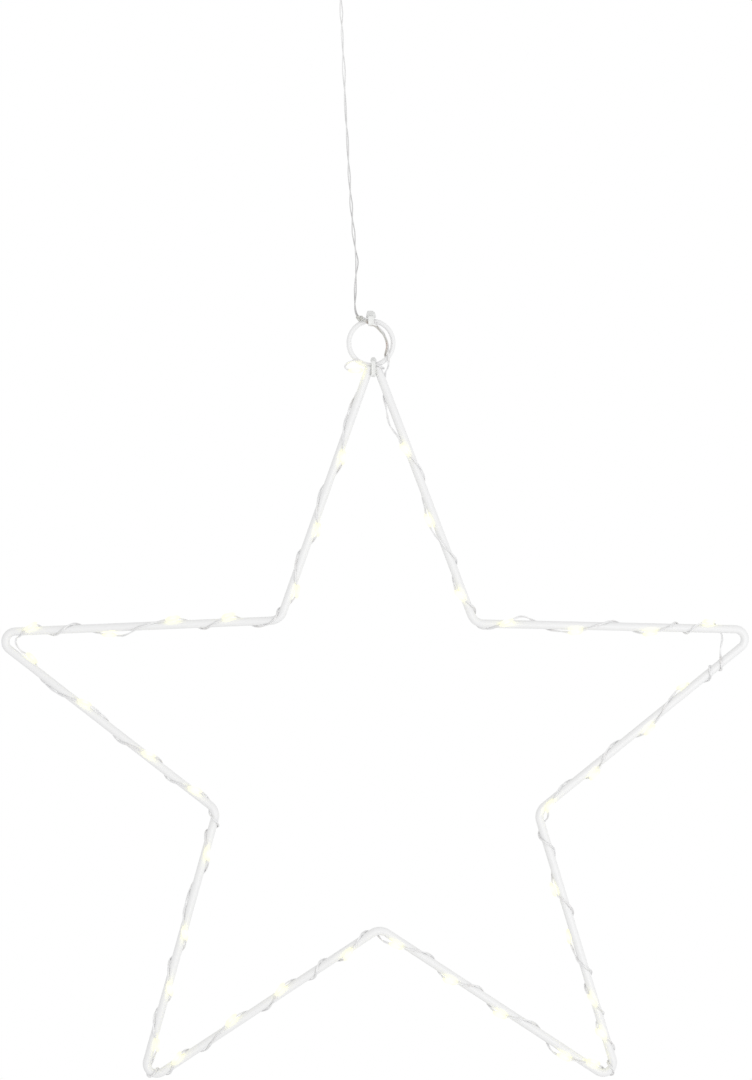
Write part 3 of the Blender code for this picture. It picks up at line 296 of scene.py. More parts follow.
class StarWireSizes(bpy.types.PropertyGroup):
    """Sizes of the star's wire and its ring."""

    wire: number("Star wire", 0.0033, "Thickness of the coated wire of the star")
    ring_hole: number("Ring hole", 0.0158, "Width of the hole in the hanging ring")
    ring_wire: number("Ring wire", 0.0019, "Thickness of the ring's wire")
    weld: number("Weld", 0.0017, "Radius of the coated weld under the ring")
    sides: whole("Sides", 28, "Faces round the star's wire")
    ring_sides: whole("Ring sides", 20, "Faces round the ring's wire")
    ring_steps: whole("Ring steps", 96, "Straight stretches that make up the ring")
    bend_step: amount("Bend step", 5.0, "Degrees between the points of a bend")


class StringSizes(bpy.types.PropertyGroup):
    """Sizes of the twisted pair and its lights."""

    pair: number("Pair", 0.00091, "Thickness of the twisted pair over both wires")
    strand: number("Strand", 0.00047, "Thickness of each enamelled wire")
    twist: number("Twist", 0.0125, "Length of one full twist of the pair on the star")
    lead_twist: number("Lead twist", 0.028, "Length of one full twist of the lead")
    lead_drift: number("Lead drift", 0.0006, "How far the lead's two wires drift apart")
    spread: number("Spread", 0.00062, "Distance between the two wires inside a light")
    strand_sides: whole("Strand sides", 8, "Faces round each wire")
    drop_length: number("Drop length", 0.0052, "Length of each resin drop")
    drop_width: number("Drop width", 0.0027, "Width of each resin drop")
    drop_flat: share("Drop depth", 0.92, "Depth of each drop as a share of its width")
    drop_lean: share("Drop lean", 0.08, "How much thicker one end of a drop may be")
    drop_sides: whole("Drop sides", 20, "Faces round each drop")
    chip_length: number("Chip length", 0.001, "Length of the chip across the pair")
    chip_width: number("Chip width", 0.0008, "Width of the chip along the pair")
    chip_height: number("Chip height", 0.0004, "Height of the chip on the pair")


class TieSizes(bpy.types.PropertyGroup):
    """Sizes of the two nylon ties."""

    width: number("Width", 0.0022, "Width of the upper tie's strap")
    strap: number("Strap", 0.0007, "Thickness of the upper tie's strap")
    head: number("Head", 0.0021, "Height of the upper tie's head")
    thin_width: number("Thin width", 0.0016, "Width of the lower tie's strap")
    thin_strap: number("Thin strap", 0.00045, "Thickness of the lower tie's strap")
    thin_head: number("Thin head", 0.0014, "Height of the lower tie's head")
    head_depth: number("Head depth", 0.003, "Depth of each tie's head")
    bend: number("Bend", 0.00125, "Radius of a strap's bends")
    tooth: number("Tooth", 0.00042, "Pitch of the teeth across the strap")
    tooth_depth: number("Tooth depth", 0.00009, "Depth of the teeth")


class BoxSizes(bpy.types.PropertyGroup):
    """Sizes of the detail in and on the battery box."""

    cell_width: number("Cell width", 0.0143, "Width of each cell")
    nub: number("Nub", 0.0013, "Height of the button at a cell's positive end")
    jacket: share("Jacket", 0.72, "Where a cell's jacket ends and its band starts")
    cell_sides: whole("Cell sides", 40, "Faces round each cell")
    plate: number("Contact plate", 0.0005, "Thickness of the contact plates")
    button_sides: whole("Button sides", 28, "Faces round each pressed button")
    spring_wire: number("Spring wire", 0.00045, "Thickness of the coil springs' wire")
    spring_turns: whole("Spring turns", 4, "Turns of each spring")
    spring_steps: whole("Spring steps", 26, "Points in each turn of a spring")
    spring_height: number("Spring height", 0.0026, "Height of each spring")
    spring_foot: number("Spring foot", 0.0036, "Radius of a spring at its plate")
    spring_taper: number("Spring taper", 0.0013, "How much narrower a spring is at the cell")
    sheet: number("Sheet", 0.0004, "Thickness of the switch's metal shell")
    knob_ribs: whole("Knob ribs", 5, "Ribs across the switch's knob")
    knob_pitch: number("Knob pitch", 0.00085, "Distance from one of those ribs to the next")


class FinishColours(bpy.types.PropertyGroup):
    """Colours of the finishes, as linear light."""

    coat: colour("Powder coat", (0.86, 0.86, 0.862), "White powder coat of the wire")
    nylon: colour("Nylon", (0.85, 0.855, 0.84), "Thin natural nylon of the ties' straps")
    nylon_thick: colour("Thick nylon", (0.72, 0.725, 0.715), "Natural nylon of the ties' heads")
    # The lead at the ring is darker with painted shade, which fades out up to the box
    enamel: colour("Enamel", (0.51, 0.505, 0.505), "Silver enamelled wire of the lead at the ring")
    enamel_high: colour("Enamel higher up", (0.85, 0.85, 0.85), "Wire of the lead at the box")
    enamel_worn: colour("Worn enamel", (0.70, 0.69, 0.69), "Thin spots of the lead's enamel")
    enamel_pale: colour("Enamel on the star", (0.83, 0.83, 0.835), "Wire wound on the star")
    enamel_warm: colour("Warm enamel", (0.78, 0.745, 0.725), "Wire where the enamel is thin")
    # The knot's and the doubled wire's colour is the star string's wire darkened with painted
    # shade; their thin spots are real copper tint, darkened by the same painted shade
    bundle: colour("Bundle", (0.58, 0.58, 0.55), "Wire of the knot and doubled at the ring")
    knot_wire_thin_spots_painted_shade: colour("Worn bundle", (0.54, 0.43, 0.38), "Thin spots of that wire's enamel")
    resin: colour("Resin", (0.30, 0.28, 0.20), "Cast resin of the lights")
    resin_pale: colour("Pale resin", (0.34, 0.33, 0.26), "Paler streaks in the resin")
    glow: colour("Glow", (0.84, 0.84, 0.745), "Light that the drops give")
    glow_milky: colour("Milky glow", (0.76, 0.78, 0.63), "Light of the cloudier parts of a drop")
    glow_end: colour("Glow at the ends", (0.755, 0.71, 0.585), "Light at the ends of a drop")
    chip: colour("Chip", (1.0, 0.82, 0.32), "Phosphor of the chips")
    chip_pale: colour("Pale chip", (1.0, 0.92, 0.55), "Paler grains of the phosphor")
    shell: colour("Box", (0.83, 0.83, 0.82), "White moulded plastic of the box")
    dark: colour("Dark plastic", (0.025, 0.025, 0.026), "Black moulded plastic")
    plated: colour("Plating", (0.66, 0.65, 0.62), "Nickel plate")
    plated_worn: colour("Worn plating", (0.50, 0.47, 0.40), "Dull spots of the plating")
    jacket: colour("Cell jacket", (0.30, 0.32, 0.34), "Shrink jacket of the cells")
    band: colour("Cell band", (0.62, 0.63, 0.64), "Plain band at a cell's positive end")
    thrown: colour("Thrown light", (1.0, 1.0, 0.42), "Light that the drops throw on the wire")
    thrown_power: amount("Thrown power", 2.0, "Strength of the light the drops throw")
    glow_power: amount("Glow power", 1.0, "Strength of the glow")


class StageSettings(bpy.types.PropertyGroup):
    """Camera, lamp, room and floor."""

    lens: amount("Lens", 85.0, "Focal length in millimetres", "CAMERA")
    sensor: amount("Sensor", 36.0, "Width of the sensor in millimetres", "CAMERA")
    view_height: number("View height", 0.432, "Height of the view at the star")
    side: number("View side", 0.002, "Middle of the view across")
    height: number("View middle", -0.0867, "Middle of the view's height")
    ambient: share("Ambient", 0.82, "Brightness of the room round the object")
    lamp_power: amount("Lamp power", 5.0, "Watts of the large lamp", "POWER")
    lamp_width: number("Lamp width", 1.3, "Width of the round lamp")
    lamp_place: scene_spot("Lamp place", (0.55, -1.25, -0.30), "Where the lamp stands")
    lamp_aim: scene_spot("Lamp aim", (0.055, 0.0, -0.17), "What the lamp is turned to")
    floor: number("Floor", -0.45, "Height of the floor")
    floor_radius: number("Floor radius", 0.62, "Radius of the round floor")
    floor_sides: whole("Floor sides", 96, "Straight sides of the round floor")
    fade_start: number("Fade start", 0.30, "How far out the floor starts to fade")
    fade_end: number("Fade end", 0.61, "How far out the floor is gone")
    floor_colour: colour("Floor colour", (0.95, 0.95, 0.95), "Pale matt floor")


def sizes(context, group):
    """One group of the sizes that the scene keeps."""
    return getattr(context.scene, "star_light_" + group)


# Mesh making


def unit_rows(rows):
    """Rows of a table of vectors made one long."""
    return rows / np.maximum(np.linalg.norm(rows, axis=1), 1e-12)[:, None]


def ways_along(line, closed=False):
    """The way a line runs at each of its points."""
    if closed:
        return unit_rows(np.roll(line, -1, 0) - np.roll(line, 1, 0))
    return unit_rows(np.gradient(line, axis=0))


def carried(ways):
    """A direction across a line at each point, carried along it without turning round it."""
    across = np.empty_like(ways)
    start = np.cross(ways[0], (0.0, 1.0, 0.0))
    if np.linalg.norm(start) < 0.1:
        start = np.cross(ways[0], (1.0, 0.0, 0.0))
    across[0] = start / np.linalg.norm(start)
    for row in range(1, len(ways)):
        turned = across[row - 1] - ways[row] * (across[row - 1] @ ways[row])
        across[row] = turned / np.linalg.norm(turned)
    return across


def wall_faces(rings, sides, closed=False):
    """Faces between rings of points that follow one another, and one over each open end."""
    near = np.arange(sides)
    far = (near + 1) % sides
    walls = []
    for ring in range(rings if closed else rings - 1):
        low, high = ring * sides, (ring + 1) % rings * sides
        walls.append(np.stack([low + near, low + far, high + far, high + near], 1))
    faces = [tuple(face) for face in np.concatenate(walls).tolist()]
    if not closed:
        faces.append(tuple(range(sides - 1, -1, -1)))
        faces.append(tuple(range((rings - 1) * sides, rings * sides)))
    return faces


def tube(points, radius, sides, closed=False):
    """Points and faces of a round wire; its radius is one number or one for each point."""
    line = np.asarray([tuple(point) for point in points], float)
    ways = ways_along(line, closed)
    across = carried(ways)
    beside = np.cross(ways, across)
    if closed:
        slip = math.atan2(across[0] @ beside[-1], across[0] @ across[-1])
        turn = -slip * np.linspace(0, 1, len(line), endpoint=False)[:, None]
        across, beside = (
            across * np.cos(turn) - beside * np.sin(turn),
            across * np.sin(turn) + beside * np.cos(turn),
        )
    radii = np.broadcast_to(np.asarray(radius, float), (len(line),))
    angles = math.tau * np.arange(sides) / sides
    rings = (
        line[:, None]
        + radii[:, None, None] * np.cos(angles)[None, :, None] * across[:, None]
        + radii[:, None, None] * np.sin(angles)[None, :, None] * beside[:, None]
    )
    return rings.reshape(-1, 3), wall_faces(len(line), sides, closed)


def round_ended(points, radius, steps=4):
    """A line and its radii, with a round nose added at both ends."""
    line = [Vector(point) for point in points]
    left_flat = 0.35
    ends = []
    for tip, inner in ((line[0], line[1]), (line[-1], line[-2])):
        way = (tip - inner).normalized()
        nose = []
        for step in range(1, steps + 1):
            angle = math.pi / 2 * step / (steps + left_flat)
            nose.append((tip + way * radius * math.sin(angle), radius * math.cos(angle)))
        ends.append(nose)
    front = ends[0][::-1]
    rows = front + [(point, radius) for point in line] + ends[1]
    return [row[0] for row in rows], [row[1] for row in rows]


def lathed(rings, sides):
    """Points and faces of a turned piece about Z, from (radius, height) rings."""
    angles = math.tau * np.arange(sides) / sides
    points = [
        np.stack([radius * np.cos(angles), radius * np.sin(angles), 0 * angles + height], 1)
        for radius, height in rings
    ]
    return np.concatenate(points), wall_faces(len(rings), sides)


def softened_box(low, high, edge, steps=2):
    """Points and faces of a box with rounded edges."""
    shape = bmesh.new()
    bmesh.ops.create_cube(shape, size=1)
    size = Vector(high) - Vector(low)
    bmesh.ops.scale(shape, vec=size, verts=shape.verts)
    bmesh.ops.translate(shape, vec=(Vector(low) + Vector(high)) / 2, verts=shape.verts)
    bmesh.ops.bevel(
        shape, geom=list(shape.edges), offset=edge, segments=steps, affect="EDGES", profile=0.5
    )
    shape.verts.index_update()
    points = np.array([tuple(vert.co) for vert in shape.verts])
    faces = [tuple(vert.index for vert in face.verts) for face in shape.faces]
    shape.free()
    return points, faces


def placed(part, matrix):
    """A part's points carried by a matrix."""
    points, faces = part
    table = np.array(matrix)
    return points @ table[:3, :3].T + table[:3, 3], faces


def piece(name, parts, body, replaces=(), sharp=40):
    """One object from (part, material) pairs, riding on a body.

    Edges that turn by more than so many degrees stay sharp.
    """
    points, faces, marks, materials = [], [], [], []
    for (part_points, part_faces), material in parts:
        if material not in materials:
            materials.append(material)
        start = sum(len(rows) for rows in points)
        points.append(part_points)
        faces += [tuple(corner + start for corner in face) for face in part_faces]
        marks += [materials.index(material)] * len(part_faces)
    mesh = bpy.data.meshes.new(name)
    mesh.from_pydata(np.concatenate(points).tolist(), [], faces)
    for material in materials:
        mesh.materials.append(material)
    mesh.polygons.foreach_set("material_index", marks)
    mesh.shade_smooth()
    mesh.set_sharp_from_angle(angle=math.radians(sharp))
    mesh.update()
    return ridden(bpy.data.objects.new(name, mesh), body, replaces)


def ridden(made, body, replaces=()):
    """Links a piece, makes it ride on a body and hides the nodes it stands for."""
    bpy.context.scene.collection.objects.link(made)
    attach(made, body)
    if replaces:
        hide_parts(*replaces)
    return made


# Route of the string, the same as the solids follow


def turned_by(way, angle):
    """A way in the star's plane, turned by an angle."""
    return Matrix.Rotation(angle, 2) @ way


def corner_at(place):
    """A corner of the star's wire, counted on and on round it."""
    return Vector(CORNERS[place % len(CORNERS)])


def bend_at(corner):
    """How far a bend reaches from its corner, its turn, the way in, its first spoke and centre."""
    way_in = (corner_at(corner) - corner_at(corner - 1)).normalized()
    way_out = (corner_at(corner + 1) - corner_at(corner)).normalized()
    turn = math.atan2(way_in.x * way_out.y - way_in.y * way_out.x, way_in.dot(way_out))
    radius = INNER_BEND if corner % 2 else TIP_BEND
    reach = radius * math.tan(abs(turn) / 2)
    spoke = turned_by(way_in, math.copysign(math.pi / 2, turn)) * radius
    return reach, turn, way_in, spoke, corner_at(corner) - way_in * reach + spoke


def frame_at(place):
    """Middle of the frame wire and its way along: place 2.25 is a quarter along leg 2."""
    corner = round(place) % len(CORNERS)
    part = place - round(place)
    other = corner_at(corner - 1) if part < 0 else corner_at(corner + 1)
    leg = (other - corner_at(corner)) * (-1 if part < 0 else 1)
    along = part * leg.length
    reach, turn, way_in, spoke, centre = bend_at(corner)
    if corner == 0 or abs(along) >= reach:
        return corner_at(corner) + leg.normalized() * along, leg.normalized()
    done = (1 + along / reach) / 2
    return centre - turned_by(spoke, turn * done), turned_by(way_in, turn * done)


def wound_at(place, angle, stand_off):
    """Middle of the string where it lies round the frame wire."""
    middle, way = frame_at(place)
    out = turned_by(way, math.pi / 2) * math.cos(math.radians(angle)) * stand_off
    front = math.sin(math.radians(angle)) * stand_off
    return Vector((middle.x + out.x, -front, middle.y + out.y))


def between(start, end, lean_in, lean_out, part):
    """What a smooth curve has a share of the way from one known point to the next."""
    curve = start * (1 + 2 * part) * (1 - part) ** 2 + end * (3 - 2 * part) * part**2
    return curve + lean_in * part * (1 - part) ** 2 - lean_out * (1 - part) * part**2


def eased(places, values, place):
    """The value at a place, on a smooth curve that never swings past its neighbours."""
    after = next((n for n, known in enumerate(places) if known > place), len(places) - 1)
    after = max(after, 1)

    def slope(row):
        return (values[row + 1] - values[row]) / (places[row + 1] - places[row])

    def lean(row):
        if row in (0, len(places) - 1):
            return slope(min(row, len(places) - 2))
        left, right = slope(row - 1), slope(row)
        return 2 * left * right / (left + right) if left * right > 0 else 0

    start, span = places[after - 1], places[after] - places[after - 1]
    leans = (span * lean(after - 1), span * lean(after))
    return between(values[after - 1], values[after], *leans, (place - start) / span)


def wound_run(first_leg, shares, reach):
    """Fine points of one wound run, and for each light its point's number and its way out."""
    rows = [(first_leg + leg + row[0], *row[1:]) for leg, rows in enumerate(shares) for row in rows]
    angles = [rows[0][1]]
    for row in rows[1:]:
        angle = row[1]
        while angle > angles[-1]:
            angle -= 360
        angles.append(angle)
    places = [row[0] for row in rows]
    kinds = [row[2] if len(row) > 2 else TIGHT for row in rows]
    offs = [reach[kind] for kind in kinds]
    leg_length = (corner_at(1) - corner_at(0)).length
    points, lights = [], []
    for row, place in enumerate(places):
        if kinds[row] == LIGHT:
            middle, _ = frame_at(place)
            out = wound_at(place, angles[row], 1) - Vector((middle.x, 0, middle.y))
            lights.append((len(points), out))
        steps = [place]
        if row < len(rows) - 1:
            width = places[row + 1] - place
            count = math.ceil(width * leg_length / CURVE_STEP)
            steps = [place + width * step / count for step in range(count)]
        for step in steps:
            points.append(wound_at(step, eased(places, angles, step), eased(places, offs, step)))
    return points, lights


def curved(points, step):
    """Points read a step apart from a smooth curve through the given ones."""
    known = [Vector(point) for point in points]
    known = [known[0] * 2 - known[1], *known, known[-1] * 2 - known[-2]]
    read = []
    for before, start, end, after in zip(known, known[1:], known[2:], known[3:]):
        count = max(math.ceil((end - start).length / step), 1)
        leans = (end - before) / 2, (after - start) / 2
        read += [between(start, end, *leans, row / count) for row in range(count)]
    return [*read, known[-2]]


def tip_route(corner, shares):
    """A free stretch of the string that crosses the inside of a tip."""
    tip = Vector((corner_at(corner).x, 0, corner_at(corner).y))
    return [tip + Vector(spot) * TIP_RADIUS for spot in shares]


def string_route(reach):
    """The string's line, and for each light its middle, the way along it and the way out."""
    runs, links, corner = [], [START_ROUTE], 0
    for shares, crossing in ((FIRST_RUN, RIGHT_TIP), (SECOND_RUN, LEFT_TIP), (THIRD_RUN, ())):
        runs.append(wound_run(corner, shares, reach))
        corner += len(shares)
        links.append(tip_route(corner, crossing) if crossing else END_ROUTE)
    look = round(LOOK_BACK / CURVE_STEP)
    fine, lights = [], []
    for row, link in enumerate(links):
        stretch = [Vector(point) for point in link]
        if row > 0:
            tail = runs[row - 1][0]
            stretch = [tail[-1 - look], tail[-1], *stretch]
        if row < len(runs):
            head = runs[row][0]
            stretch = [*stretch, head[0], head[look]]
        read = curved(stretch, CURVE_STEP)
        if row > 0:
            back = tail[-1 - look]
            read = [point for point in read if (point - back).length > (tail[-1] - back).length]
        if row < len(runs):
            nearest = min((point - head[0]).length for point in read)
            read = read[: next(n for n, p in enumerate(read) if (p - head[0]).length == nearest)]
        fine += read
        if row < len(runs):
            lights += [(len(fine) + light, out) for light, out in runs[row][1]]
            fine += runs[row][0]
    return seated(fine, lights)


def seated(fine, lights):
    """The fine line with a straight stretch through each light, and where each light sits."""
    half = LIGHT_STRAIGHT / 2
    side = round(half / CURVE_STEP)
    clear = half + LIGHT_APPROACH
    seats = []
    for spot, out in lights:
        way = fine[spot + side] - fine[spot - side]
        seats.append((spot, fine[spot], (way - out * way.dot(out)).normalized(), out))
    end_out = Vector((0.0, -1.0, 0.0))
    seats.append((len(fine), Vector(END_LIGHT), Vector(END_WAY).normalized(), end_out))
    path, start = [], 0
    for spot, middle, way, _ in seats:
        first = last = spot
        while first > start and (fine[first - 1] - middle).length < clear:
            first -= 1
        while last < len(fine) and (fine[last] - middle).length < clear:
            last += 1
        path += [*fine[start:first], middle - way * half, middle + way * half]
        start = last
    return [*path, *fine[start:]], [seat[1:] for seat in seats]


def evenly(points, step, passes=0):
    """A line read again at even steps, and rounded a little at its corners."""
    line = np.array([tuple(point) for point in points])
    run = np.concatenate([[0], np.cumsum(np.linalg.norm(np.diff(line, axis=0), axis=1))])
    spots = np.linspace(0, run[-1], round(run[-1] / step) + 1)
    line = np.stack([np.interp(spots, run, line[:, axis]) for axis in range(3)], 1)
    for _ in range(passes):
        line[1:-1] = line[1:-1] / 2 + (line[:-2] + line[2:]) / 4
    return line


def settled(line, least, star):
    """A wound line eased into smooth curves that stay on or off the wires of the star and ring."""
    leg_spots, ring_spots, batch = 300, 144, 500
    rounds, easings, easings_of_all = 6, 9, 3
    free_room, top_height, top_side = 0.00035, -0.028, -0.003
    wire, room = [], []
    for place in np.linspace(0.0, len(CORNERS) - 1e-6, len(CORNERS) * leg_spots):
        middle, _ = frame_at(float(place))
        if (middle - corner_at(0)).length > END_TRIM:
            wire.append((middle.x, 0.0, middle.y))
            room.append(least)
    reach = (star.ring_hole + star.ring_wire) / 2
    for angle in np.linspace(0.0, math.tau, ring_spots):
        height = reach * math.sin(angle) - star.ring_hole / 2
        wire.append((reach * math.cos(angle), 0.0, height))
        room.append(least - (star.wire - star.ring_wire) / 2)
    wire, room = np.array(wire), np.array(room)

    def nearest_to(rows):
        return (np.linalg.norm(rows[:, None] - wire[None], axis=2) - room).argmin(axis=1)

    for turn in range(rounds):
        starts = range(0, len(line), batch)
        nearest = np.concatenate([nearest_to(line[start : start + batch]) for start in starts])
        out = line - wire[nearest]
        reach = np.linalg.norm(out, axis=1)
        need = room[nearest]
        pushed = wire[nearest] + out / reach[:, None] * need[:, None]
        line = np.where((reach < need)[:, None], pushed, line)
        if turn == rounds - 1:
            break
        free = (reach > need + free_room) & ((line[:, 2] < top_height) | (line[:, 0] < top_side))
        for easing in range(easings):
            moved = line.copy()
            moved[1:-1] = line[1:-1] / 2 + (line[:-2] + line[2:]) / 4
            line = np.where(free[:, None], moved, line) if easing >= easings_of_all else moved
    return line


def twisted(line, context, straight=(), seed=1, twist=None, apart_by=0.0):
    """Both wires of the pair along an even line, and the way from one to the other."""
    wires = sizes(context, "string")
    straight_reach, straight_ends = 0.0022, 1.55
    twist_every, least_twist, most_twist = 24, 0.72, 1.32
    drift_every, drift_ends = 14, 0.012
    step = float(np.linalg.norm(np.diff(line, axis=0), axis=1).mean())
    ways = ways_along(line)
    across = carried(ways)
    beside = np.cross(ways, across)
    open_share = np.zeros(len(line))
    for middle in straight:
        away = np.linalg.norm(line - np.array(tuple(middle)), axis=1)
        open_share = np.maximum(open_share, np.clip(straight_ends - away / straight_reach, 0, 1))
    ease = open_share * open_share * (3 - 2 * open_share)
    chance = np.random.default_rng(seed)
    spots = np.arange(len(line))

    def wandering(every, low, high):
        nodes = np.arange(0, len(line) + every, every)
        return np.interp(spots, nodes, chance.uniform(low, high, len(nodes)))

    drift = wandering(twist_every, least_twist, most_twist)
    angle = np.cumsum(math.tau * step / (twist or wires.twist) * drift * (1 - ease))
    apart = across * np.cos(angle)[:, None] + beside * np.sin(angle)[:, None]
    gap = (wires.pair - wires.strand) / 2 * (1 - ease) + wires.spread / 2 * ease
    if apart_by:
        waves = wandering(drift_every, 0, 1)
        held = np.minimum(spots, spots[::-1]) * step / drift_ends
        gap = gap + apart_by / 2 * waves * np.clip(held, 0, 1)
    return line + apart * gap[:, None], line - apart * gap[:, None], apart


def strands(lines, wires, material):
    """Both wires of the pair as parts."""
    return [(tube(line, wires.strand / 2, wires.strand_sides), material) for line in lines]


# Shader nodes and materials


def feed(tree, socket, value):
    """Gives a socket a number, a colour or another node's output."""
    if isinstance(value, bpy.types.NodeSocket):
        tree.links.new(value, socket)
    elif isinstance(value, (int, float)):
        socket.default_value = value
    else:
        socket.default_value = (*value[:3], 1.0)


def node(tree, kind, inputs, **settings):
    """A new shader node with its settings and what its inputs are fed."""
    made = tree.nodes.new("ShaderNode" + kind)
    for name, value in settings.items():
        setattr(made, name, value)
    for label, value in inputs.items():
        feed(tree, made.inputs[label], value)
    return made


def on_object(tree):
    """The place on the object, for textures to read."""
    return node(tree, "TexCoord", {}).outputs["Object"]


def noise(tree, place, scale, detail=2.0, roughness=0.5):
    """A noise texture read at a place."""
    inputs = {"Vector": place, "Scale": scale, "Detail": detail, "Roughness": roughness}
    return node(tree, "TexNoise", inputs).outputs["Fac"]


def sums(tree, kind, first, second):
    """A math node on sockets and numbers."""
    return node(tree, "Math", {0: first, 1: second}, operation=kind).outputs[0]


def mixed(tree, fac, first, second):
    """A colour mix of sockets or plain colours."""
    return node(tree, "Mix", {0: fac, 6: first, 7: second}, data_type="RGBA").outputs[2]


def ramp(tree, value, low, high, kind="LINEAR"):
    """A share that grows from nothing at one value to all at the other."""
    inputs = {"Value": value, "From Min": low, "From Max": high}
    return node(tree, "MapRange", inputs, interpolation_type=kind).outputs["Result"]


def shaded(tree, tone, value):
    """A colour made brighter or darker."""
    return node(tree, "HueSaturation", {"Color": tone, "Value": value}).outputs["Color"]


def bumped(tree, shader, height, strength, depth):
    """Raises a shader's surface by a height."""
    inputs = {"Height": height, "Strength": strength, "Distance": depth}
    feed(tree, shader.inputs["Normal"], node(tree, "Bump", inputs).outputs["Normal"])


def new_group(name, inputs):
    """A shader node group with named sockets, and its two ends."""
    group = bpy.data.node_groups.new(name, "ShaderNodeTree")
    for label, value in inputs.items():
        kind = "NodeSocketColor" if isinstance(value, tuple) else "NodeSocketFloat"
        group.interface.new_socket(label, in_out="INPUT", socket_type=kind).default_value = value
    for label, kind in SURFACE.items():
        group.interface.new_socket(label, in_out="OUTPUT", socket_type=kind)
    start, end = group.nodes.new("NodeGroupInput"), group.nodes.new("NodeGroupOutput")
    return group, start.outputs, end.inputs


def surface_grain():
    """A moulded or sprayed surface: fine grain, a slow change of tone, and dulled patches."""
    group, given, end = new_group(
        GRAIN,
        {
            "Color": (0.8, 0.8, 0.8, 1.0),
            "Grain": 2500.0,
            "Tone Change": 0.05,
            "Roughness": 0.4,
            "Roughness Change": 0.1,
        },
    )
    slow_scale, patch_scale = 60.0, 320.0
    place = on_object(group)
    fine = noise(group, place, given["Grain"], detail=3.0, roughness=0.6)
    slow = noise(group, place, slow_scale, detail=3.0)
    patches = noise(group, place, patch_scale, detail=4.0)
    tone = sums(group, "SUBTRACT", sums(group, "ADD", slow, fine), 1.0)
    shade = sums(group, "ADD", sums(group, "MULTIPLY", tone, given["Tone Change"]), 1.0)
    patchy = sums(group, "SUBTRACT", patches, 0.5)
    dull = sums(group, "MULTIPLY", patchy, given["Roughness Change"])
    feed(group, end["Color"], shaded(group, given["Color"], shade))
    feed(group, end["Roughness"], sums(group, "ADD", dull, given["Roughness"]))
    feed(group, end["Height"], fine)


def rubbed_metal():
    """Plated or enamelled metal: streaks, darker patches and thin spots of another colour."""
    group, given, end = new_group(
        METAL,
        {
            "Color": (0.6, 0.6, 0.6, 1.0),
            "Thin Color": (0.5, 0.4, 0.3, 1.0),
            "Streaks": 900.0,
            "Thin Share": 0.3,
            "Roughness": 0.3,
        },
    )
    spot_scale, thin_from, thin_to, streak_shade, streak_dull = 210.0, 0.48, 0.66, 0.36, 0.3
    place = on_object(group)
    streaks = noise(group, place, given["Streaks"], detail=4.0, roughness=0.65)
    slow = noise(group, place, spot_scale, detail=3.0)
    spots = ramp(group, slow, thin_from, thin_to)
    thin = sums(group, "MULTIPLY", spots, given["Thin Share"])
    tinted = mixed(group, thin, given["Color"], given["Thin Color"])
    shade = sums(group, "MULTIPLY", streaks, streak_shade)
    shade = sums(group, "ADD", shade, 1 - streak_shade / 2)
    dull = sums(group, "MULTIPLY", sums(group, "SUBTRACT", streaks, 0.5), streak_dull)
    feed(group, end["Color"], shaded(group, tinted, shade))
    feed(group, end["Roughness"], sums(group, "ADD", dull, given["Roughness"]))
    feed(group, end["Height"], streaks)


def blank(name):
    """A new material, its tree and its main shader."""
    made = bpy.data.materials.new(name)
    made.use_nodes = True
    return made, made.node_tree, made.node_tree.nodes["Principled BSDF"]


def grained(name, group, values, bump, metallic, coat):
    """A material that takes its colour, roughness and bump from a shared group."""
    made, tree, shader = blank(name)
    values = dict(enumerate(values))
    source = node(tree, "Group", values, node_tree=bpy.data.node_groups[group])
    feed(tree, shader.inputs["Base Color"], source.outputs["Color"])
    feed(tree, shader.inputs["Roughness"], source.outputs["Roughness"])
    bumped(tree, shader, source.outputs["Height"], *bump)
    shader.inputs["Metallic"].default_value = metallic
    shader.inputs["Coat Weight"].default_value = coat
    return made


def paint_shade_towards_ring(made, low, high):
    """Paints shade into a wire's colour: darker lower down towards the ring, paler the higher it is
    up to the box.
    """
    tree = made.node_tree
    at_ring, at_box = 0.006, 0.130
    source = next(found for found in tree.nodes if found.type == "GROUP")
    height = node(tree, "SeparateXYZ", {0: on_object(tree)}).outputs["Z"]
    rise = ramp(tree, height, at_ring, at_box)
    feed(tree, source.inputs["Color"], mixed(tree, rise, low, high))


def resin_material(colours):
    """Cast resin that glows: brightest over the chip and amber towards the wires."""
    made, tree, shader = blank("light resin")
    heart, bright_to, amber_from, most_milky = (0.0, 0.0008, 0.0), 0.0012, 0.0026, 0.5
    cloud_scale, streak_scale = 520.0, 900.0
    place = on_object(tree)
    away = node(tree, "VectorMath", {0: place}, operation="DISTANCE")
    away.inputs[1].default_value = heart
    ends = ramp(tree, away.outputs["Value"], bright_to, amber_from, "SMOOTHSTEP")
    cloud = sums(tree, "MULTIPLY", noise(tree, place, cloud_scale, detail=1.0), most_milky)
    glow = mixed(tree, ends, mixed(tree, cloud, colours.glow, colours.glow_milky), colours.glow_end)
    seen = node(tree, "LightPath", {}).outputs["Is Camera Ray"]
    thrown = [channel * colours.thrown_power for channel in colours.thrown]
    streaks = noise(tree, place, streak_scale)
    feed(tree, shader.inputs["Emission Color"], mixed(tree, seen, thrown, glow))
    feed(tree, shader.inputs["Base Color"], mixed(tree, streaks, colours.resin, colours.resin_pale))
    bumped(tree, shader, streaks, 0.25, 0.00005)
    shader.inputs["Emission Strength"].default_value = colours.glow_power
    shader.inputs["Roughness"].default_value = 0.09
    shader.inputs["Coat Weight"].default_value = 0.6
    return made


def chip_material(colours):
    """The chip's phosphor."""
    made, tree, shader = blank("light chip")
    grain_scale = 4000.0
    grains = noise(tree, on_object(tree), grain_scale)
    tone = mixed(tree, grains, colours.chip, colours.chip_pale)
    feed(tree, shader.inputs["Base Color"], tone)
    feed(tree, shader.inputs["Emission Color"], tone)
    shader.inputs["Emission Strength"].default_value = colours.glow_power
    return made


MATERIALS = {}

